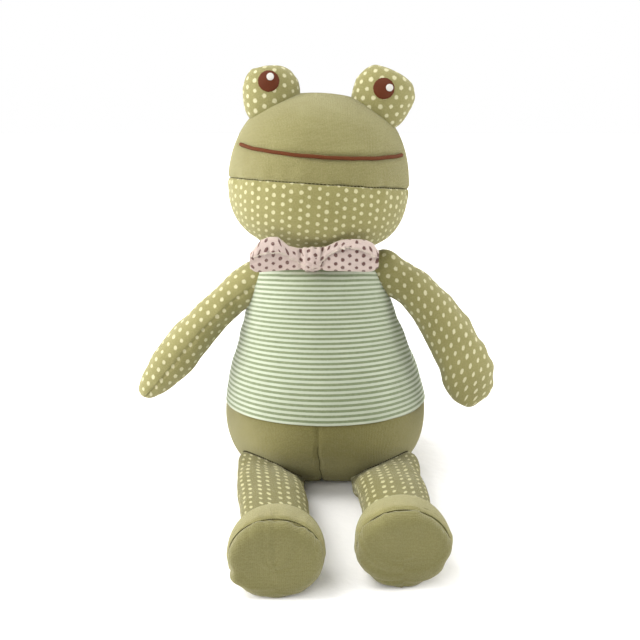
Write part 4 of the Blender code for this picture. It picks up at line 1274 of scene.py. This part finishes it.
FOOT_WIDTH, FOOT_HEIGHT, FOOT_LENGTH = 0.0512, 0.0452, 0.0330
FOOT_COLUMNS, FOOT_ROWS = 160, ((0, 0, 0.004, 0.012, 0.03), 0.05, 46)
FOOT_BEYOND, FOOT_SINK, SOLE_SEAM = 0.80, 0.0005, 0.24
FOOT_OPENING, FOOT_STITCH_SUNK, STITCHED_ABOVE = 0.4, 0.0005, 0.006
FOOT_LUMPS, FOOT_RUFFLES, FOOT_FINE = (0.0007, 0.018), (0.0011, 0.0060), (0.0005, 0.0028)
FOOT_SEAM, FOOT_REACH, FOOT_TURNS = (0.0016, 0.0017), 0.007, (0.0034, 0.0012)
# place behind the sole and size
FOOT_SHARES = ((0.0, 0.60), (0.0, 0.94), (0.16, 1.02), (0.52, 1.03), (0.86, 0.92), (1.0, 0.80))
FOOT_SEEDS = {"left": 101, "right": 111}
# place from the sole's middle, depth and width
FOOT_DENTS = {
    "left": (
        ((-0.0245, 0.004, -0.006), 0.0022, 0.0030),
        ((-0.0235, 0.002, -0.0125), -0.0018, 0.0050),
        ((-0.0215, 0.002, -0.0165), 0.0016, 0.0022),
        ((-0.0150, 0.000, -0.0185), -0.0012, 0.0060),
    ),
    "right": (((0.0250, 0.004, -0.008), 0.0018, 0.0035), ((0.0170, 0.006, -0.019), 0.0010, 0.0035)),
}


def make_foot(side):
    ankle, seed, body = ANKLES[side], FOOT_SEEDS[side], f"foot_{side}"
    sole = np.array([ankle[0], ankle[1] - FOOT_BEYOND * FOOT_LENGTH, FOOT_HEIGHT / 2 - FOOT_SINK])
    form = Loft([
        (sole + Y * share * FOOT_LENGTH, X * size * FOOT_WIDTH / 2, Z * size * FOOT_HEIGHT / 2)
        for share, size in FOOT_SHARES
    ])
    angles = around_angles(FOOT_COLUMNS, -QUARTER)
    seam_middle = sole + Y * SOLE_SEAM * FOOT_LENGTH
    seam = form.place_where(angles, lambda p: p[..., 1], seam_middle[1], 2, form.span - 2)
    shares = edge_shares(*FOOT_ROWS)

    def from_seam(end, piece_seed):
        """The foot's cloth from the seam round the sole to an end, ruffled along that seam."""
        cloth = Cloth(form.between(angles, seam, end, shares))
        beyond = cloth.points[..., 1] - seam_middle[1]
        lift = PROUD + cloth.lumps(*FOOT_LUMPS, piece_seed) - ridge(beyond, *FOOT_SEAM)
        ruffles = cloth.ruffles(*FOOT_RUFFLES, seed + 2) + cloth.ruffles(*FOOT_FINE, seed + 3)
        lift += ruffles * bell(beyond, FOOT_REACH)
        cloth.raise_by(lift - dents(cloth.points - sole, FOOT_DENTS[side]))
        cloth.turn_in(*FOOT_TURNS)
        cloth.keep_off_floor()
        return cloth

    cloth = from_seam(0.0, seed)
    cloth.around, cloth.along = (closed((cloth.points - sole)[..., axis]) for axis in (0, 2))
    pad = cloth.piece(f"sole_cloth_{side}", shaded_sole_plain, first_pole=False)
    dress(pad, body, (f"foot_sole_{side}", f"foot_stuffing_{side}"))
    cloth = from_seam(form.span - FOOT_OPENING, seed + 1)
    upper = cloth.piece(f"foot_cloth_{side}", plain, first_pole=False, last_pole=False)
    dress(upper, body, (f"foot_upper_{side}",))
    edge = form.at(angles, seam)
    outward = unit((edge - seam_middle) * [1, 0, 1])
    edge = edge - outward * FOOT_STITCH_SUNK
    above = edge[:, 2] > STITCHED_ABOVE
    # dark stitches round the sole's seam: painted shade in that seam
    stitches = stitches_along(
        f"sole_shade_stitches_{side}", edge, outward, "sole", seam_shade_thread, kept=above
    )
    dress(stitches, body)


for side in SIDES:
    make_leg(side)
    make_foot(side)


# Bow

# for places out from the knot: the loop's x, its bottom, its top and its flap's free edge
LOOPS = {
    "left": (
        (-0.0086, -0.0120, -0.0144, -0.0162, -0.0180, -0.0220,
         -0.0259, -0.0282, -0.0338, -0.0384, -0.0423, -0.0446),
        (0.1470, 0.1470, 0.1470, 0.1469, 0.1468, 0.1467,
         0.1465, 0.1462, 0.1458, 0.1452, 0.1452, 0.1470),
        (0.1580, 0.1588, 0.1592, 0.1594, 0.1598, 0.1608,
         0.1640, 0.1662, 0.1660, 0.1642, 0.1600, 0.1560),
        (0.1506, 0.1502, 0.1508, 0.1518, 0.1535, 0.1559,
         0.1576, 0.1588, 0.1590, 0.1576, 0.1560, 0.1548),
    ),
    "right": (
        (-0.0086, -0.0050, -0.0026, -0.0010, 0.0016, 0.0049,
         0.0082, 0.0121, 0.0174, 0.0233, 0.0279, 0.0305),
        (0.1470, 0.1470, 0.1468, 0.1466, 0.1463, 0.1461,
         0.1460, 0.1457, 0.1455, 0.1453, 0.1456, 0.1476),
        (0.1580, 0.1588, 0.1594, 0.1600, 0.1612, 0.1628,
         0.1641, 0.1647, 0.1649, 0.1644, 0.1622, 0.1576),
        (0.1506, 0.1504, 0.1518, 0.1540, 0.1566, 0.1592,
         0.1608, 0.1620, 0.1606, 0.1585, 0.1566, 0.1555),
    ),
}
# place across, height, slope, depth and width of each crease, and where it fades in
BOW_CREASES = {
    "left": ((-0.040, 0.1530, 0.55, 0.0009, 0.0010, (-0.032, -0.038)),),
    "right": (
        (0.026, 0.1525, 0.30, 0.0010, 0.0011, (0.012, 0.020)),
        (0.023, 0.1572, -0.55, 0.0008, 0.0010, (0.015, 0.021)),
    ),
}
# how far out, and the radius of the roll there
BOW_ROLLS = (0, 0.2, 0.5, 0.85, 1.0), (0.0011, 0.0014, 0.0018, 0.0016, 0.0011)
# how far up the panel and down the flap, and the cloth's thickness there
BOW_SHEETS = (0, 0.06, 0.25, 0.4, 1), (0.0015, 0.0026, 0.0024, 0.0014, 0.0013)
# share of the outline that is left, and how far out, of the rows that close a loop's end
BOW_ENDS = (0.97, 0.0003), (0.90, 0.0006), (0.0, 0.0007)
BOW_MIDDLE = np.array([-0.0086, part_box("bow_knot")[0][1] + 0.0036, 0.1532])
BOW_SEEDS = {"left": 121, "right": 141}
BOW_ROWS, SOFTENED = 110, 7
PANEL_POINTS, ROLL_POINTS, FLAP_POINTS = 18, 14, 15
LEAST_FLAP, PANEL_BEND, FLAP_BEND = 0.0006, 0.0012, 0.0005
BOW_WAVES, BOW_RIPPLES, TURN_OVER, RIPPLE_TURN = (0.0006, 0.0042), (0.0003, 0.0019), -0.0007, 0.0009
BOW_GATHERS, BOW_LUMPS = (0.0011, 0.0034), (0.0007, 0.0090)
GATHERS_TO, GATHERS_FADE, FAN_START, FAN_DRIFT = 0.004, 0.008, 0.35, 0.12
BESIDE_KNOT, BESIDE_PLACE, LOOP_BEND, LOOP_BACK = (0.0012, 0.0013), 0.0064, 0.0014, 0.0002
FREE_EDGE, FRAY_ROWS, FRAY_LENGTH, FRAY_SHARES = 48, slice(12, 106), 0.0009, (0.7, 0.5)
FRAY_LEAN, FRAY_SWAY = np.array([0, -0.35, -0.7]), np.array([0.7, 0.3, 0.5])
FRAY_SIZE, FRAY_RAISED, FRAY_RADIUS, FRAY_PER_ROW = 0.7, 0.0003, 0.00017, 3
# place behind and above the knot's middle, width, depth and turn in degrees of each ring,
# from the chest where the knot is sewn on up to its top
KNOT_RINGS = (
    (0.0180, -0.0152, 0.0036, 0.0018, 55),
    (0.0156, -0.0118, 0.0040, 0.0024, 60),
    (0.0112, -0.0078, 0.0044, 0.0024, 68),
    (0.0062, -0.0058, 0.0048, 0.0026, 55),
    (0.0034, -0.0050, 0.0054, 0.0032, 32),
    (0.0014, -0.0040, 0.0057, 0.0043, 8),
    (0.0004, -0.0026, 0.0057, 0.0047, 0),
    (0.0002, 0.0, 0.0055, 0.0047, 0),
    (-0.0004, 0.0030, 0.0057, 0.0042, 0),
    (-0.0012, 0.0061, 0.0059, 0.0030, 0),
    (-0.0014, 0.0073, 0.0054, 0.0016, 0),
)
KNOT_SQUARE, KNOT_SHIFT, KNOT_COLUMNS, KNOT_ROWS = 0.62, 0.0002, 110, 110
# height, width, start and slant of the folds
KNOT_FOLDS, KNOT_LUMPS = (0.00030, 0.0047, 0.8, 60), (0.0004, 0.0055)


def folded_section(low, top, edge, roll, turn_over):
    """A band's middle line: up from its bottom, over in a roll and down to the flap's free edge."""
    panel = np.linspace(0, 1, PANEL_POINTS)
    arc = np.linspace(0, math.pi, ROLL_POINTS + 1)[1:]
    flap = np.linspace(0, 1, FLAP_POINTS + 1)[1:]
    shoulder = top - roll
    drop = shoulder + (min(edge, shoulder - LEAST_FLAP) - shoulder) * flap
    front = -2 * roll - FLAP_BEND * np.sin(math.pi * flap) + turn_over * flap
    back = -PANEL_BEND * np.sin(math.pi * panel)
    y = np.concatenate([back, roll * np.cos(arc) - roll, front])
    z = np.concatenate([low + (shoulder - low) * panel, shoulder + roll * np.sin(arc), drop])
    return y, z


def thickened(y, z, thickness):
    """The closed outline of a middle line, with rounded ends, and each point's place along it."""
    along = np.concatenate([[0], np.cumsum(np.hypot(np.diff(y), np.diff(z)))])
    tangent = unit(np.stack([np.gradient(y), np.gradient(z)], axis=1))
    tangent_y, tangent_z = (tangent * thickness[:, None] / 2).T
    tips = [
        (y[end] + way * tangent_y[end], z[end] + way * tangent_z[end], along[end])
        for end, way in ((-1, 1), (0, -1))
    ]
    front, back = (
        np.stack([y - way * tangent_z, z + way * tangent_y, along], axis=1)[::way]
        for way in (1, -1)
    )
    return np.concatenate([front, tips[:1], back, tips[1:]])


def make_loop(side):
    """A loop of the bow: a flat panel whose upper part folds over the front as a ruffled flap."""
    table, seed = np.array(LOOPS[side]), BOW_SEEDS[side]
    share = np.linspace(0, 1, BOW_ROWS)
    reach = abs(table[0, -1] - table[0, 0])
    spread = np.abs(table[0] - table[0, 0]) / reach
    low, top, edge = (
        np.convolve(
            np.pad(np.interp(share, spread, row), SOFTENED // 2, mode="edge"),
            np.ones(SOFTENED) / SOFTENED, mode="valid",
        )
        for row in table[1:]
    )
    (wave_high, wave_size), (ripple_high, ripple_size) = BOW_WAVES, BOW_RIPPLES
    ripple = noise_of(share * reach, 0.01, ripple_size, seed + 1)
    free = edge + wave_high * noise_of(share * reach, 0, wave_size, seed) + ripple_high * ripple
    rolls = np.interp(share, *BOW_ROLLS)
    outlines = []
    for row in range(BOW_ROWS):
        turn_over = TURN_OVER + RIPPLE_TURN * ripple[row]
        y, z = folded_section(low[row], top[row], free[row], rolls[row], turn_over)
        outlines.append(thickened(y, z, np.interp(np.linspace(0, 1, len(y)), *BOW_SHEETS)))
    y, z, places = np.moveaxis(outlines, 2, 0)
    share = np.broadcast_to(share[:, None], y.shape)
    out = share * reach
    x = BOW_MIDDLE[0] + OUTWARDS[side] * out
    gathered = np.exp(-np.maximum(out - GATHERS_TO, 0) / GATHERS_FADE)
    fan = (z - BOW_MIDDLE[2]) / (FAN_START + share)
    (fold_high, fold_size), (lump_high, lump_size) = BOW_GATHERS, BOW_LUMPS
    y = y + fold_high * noise_of(fan, out * FAN_DRIFT, fold_size, seed + 2) * gathered
    y += lump_high * noise_of(out, z, lump_size, seed + 3)
    for across, height, slope, depth, width, fade in BOW_CREASES[side]:
        y += ridge(z - height - slope * (x - across), depth, width) * smooth(*fade, x)
    y += ridge(out - BESIDE_PLACE, *BESIDE_KNOT) + LOOP_BEND * share ** 2
    y += BOW_MIDDLE[1] + LOOP_BACK
    points = np.stack([x, y, z], axis=2)
    end = points[-1].mean(axis=0)
    ends = [end + (points[-1] - end) * left + X * OUTWARDS[side] * more for left, more in BOW_ENDS]
    start = np.broadcast_to(points[0].mean(axis=0), points[:1].shape)
    points = np.concatenate([start, points, ends])
    along = closed(np.concatenate([places[:1], places, [places[-1]] * len(ends)]))
    around = np.broadcast_to(np.abs(points[:, :1, 0] - BOW_MIDDLE[0]), along.shape)
    item = grid_piece(f"bow_cloth_{side}", points, bow_dotted, around, along)
    dress(item, "torso", (f"bow_loop_{side}",))
    make_fray(side, points[FRAY_ROWS, FREE_EDGE], seed + 4)


def make_fray(side, hem, seed):
    """Loose cream threads along the raw edge of a loop's flap."""
    every = np.linspace(0, len(hem) - 1, FRAY_PER_ROW * len(hem))
    starts = spline(hem, every)
    wander = np.stack([noise_of(every, 0, FRAY_SIZE, seed + step) for step in range(3)], axis=1)
    least, more = FRAY_SHARES
    reach = FRAY_LENGTH * (least + more * wander[:, 1:2])
    threads = stitches_piece(
        f"bow_fray_{side}", starts + Z * FRAY_RAISED,
        starts + (FRAY_LEAN + FRAY_SWAY * wander) * reach,
        np.broadcast_to(-Y, starts.shape), FRAY_RADIUS, fray_thread,
    )
    dress(threads, "torso")


def make_knot():
    """The flat strip that wraps the middle of the bow and goes back to the chest."""
    form = Loft([
        (
            BOW_MIDDLE + np.array([KNOT_SHIFT, back, up]),
            X * width, turn_matrix(turn, "X") @ Y * depth,
        )
        for back, up, width, depth, turn in KNOT_RINGS
    ], KNOT_SQUARE)
    cloth = Cloth(form.whole(KNOT_COLUMNS, KNOT_ROWS))
    across = cloth.points - BOW_MIDDLE
    high, width, start, slant = KNOT_FOLDS
    fold = np.sin(across[..., 0] * TURN / width + start + across[..., 2] * slant)
    cloth.raise_by(high * fold + cloth.lumps(*KNOT_LUMPS, 131))
    item = cloth.piece("bow_knot_cloth", knot_dotted)
    dress(item, "torso", ("bow_knot",))


for side in SIDES:
    make_loop(side)
make_knot()


# Floor, light and camera

FLOOR_SIZE, FLOOR_DROP, PAPER_GRAIN = 1.1, 0.0002, (140, 4)
# towards the bright side of the light all round, and its strength from the dark side to there
BRIGHT_WAY, BRIGHTNESS = (-0.10, 0.95, 0.28), (-0.75, 0.70, 0.22, 1.25)
CAMERA_PLACE, CAMERA_TURN, SENSOR, LENS = (-0.0036, -0.726, 0.362), 70, 36, 67.5
# name, place, height that it points at, size, power and colour
LAMPS = (
    ("key", (-1.5, 0.1, 2.7), 0.12, 2.4, 64, (1.0, 0.99, 0.97)),
    ("front", (-1.2, -2.6, 1.8), 0.16, 2.4, 56, (1.0, 0.99, 0.96)),
    ("left", (-2.6, -0.1, 0.9), 0.12, 1.8, 60, (1.0, 1.0, 0.98)),
    ("right", (2.6, 0.1, 0.9), 0.12, 1.8, 50, (1.0, 1.0, 1.0)),
)


def add(name, data):
    item = bpy.data.objects.new(name, data)
    bpy.context.scene.collection.objects.link(item)
    return item


def make_stage():
    mesh = bpy.data.meshes.new("floor")
    line = (-FLOOR_SIZE, FLOOR_SIZE)
    mesh.from_pydata([(x, y, -FLOOR_DROP) for y in line for x in line], [], [(0, 1, 3, 2)])
    material = bpy.data.materials.new("floor_paper")
    nodes = Nodes(material)
    grain = nodes.noise(*PAPER_GRAIN)
    bump = nodes.value("ShaderNodeBump", {"Strength": 0.25, "Distance": 0.002, "Height": grain})
    nodes.fill(nodes.tree.nodes["Principled BSDF"], {
        "Base Color": (0.98, 0.975, 0.98, 1), "Roughness": 0.95,
        "Specular IOR Level": 0.1, "Normal": bump,
    })
    mesh.materials.append(material)
    add("floor", mesh)


def make_light():
    """A white backdrop for the camera, a softer light all round and large lamps."""
    world = bpy.data.worlds.new("studio")
    nodes = Nodes(world)
    back = nodes.value("ShaderNodeBackground", {"Color": (1.0, 1.0, 1.0, 1), "Strength": 1.0})
    towards = nodes.value(
        "ShaderNodeVectorMath", {0: nodes.place("Generated"), 1: BRIGHT_WAY},
        "Value", operation="DOT_PRODUCT",
    )
    strength = nodes.steps(towards, *BRIGHTNESS)
    around = nodes.value(
        "ShaderNodeBackground", {"Color": (1.0, 0.995, 0.985, 1), "Strength": strength}
    )
    seen = nodes.value("ShaderNodeLightPath", output="Is Camera Ray")
    choose = nodes.value("ShaderNodeMixShader", {0: seen, 1: around, 2: back})
    nodes.fill(nodes.tree.nodes["World Output"], {"Surface": choose})
    bpy.context.scene.world = world
    bpy.context.scene.view_settings.view_transform = "Standard"
    for name, place, height, size, power, colour in LAMPS:
        data = bpy.data.lights.new(name, "AREA")
        data.shape = "DISK"
        data.size, data.energy, data.color = size, power, colour
        lamp = add(name, data)
        lamp.location = place
        towards = Vector((0, 0, height)) - Vector(place)
        lamp.rotation_euler = towards.to_track_quat("-Z", "Y").to_euler()


def make_camera():
    data = bpy.data.cameras.new("camera")
    data.sensor_width, data.lens = SENSOR, LENS
    camera = add("camera", data)
    camera.location = CAMERA_PLACE
    camera.rotation_euler = (math.radians(CAMERA_TURN), 0, 0)
    bpy.context.scene.camera = camera


make_stage()
make_light()
make_camera()
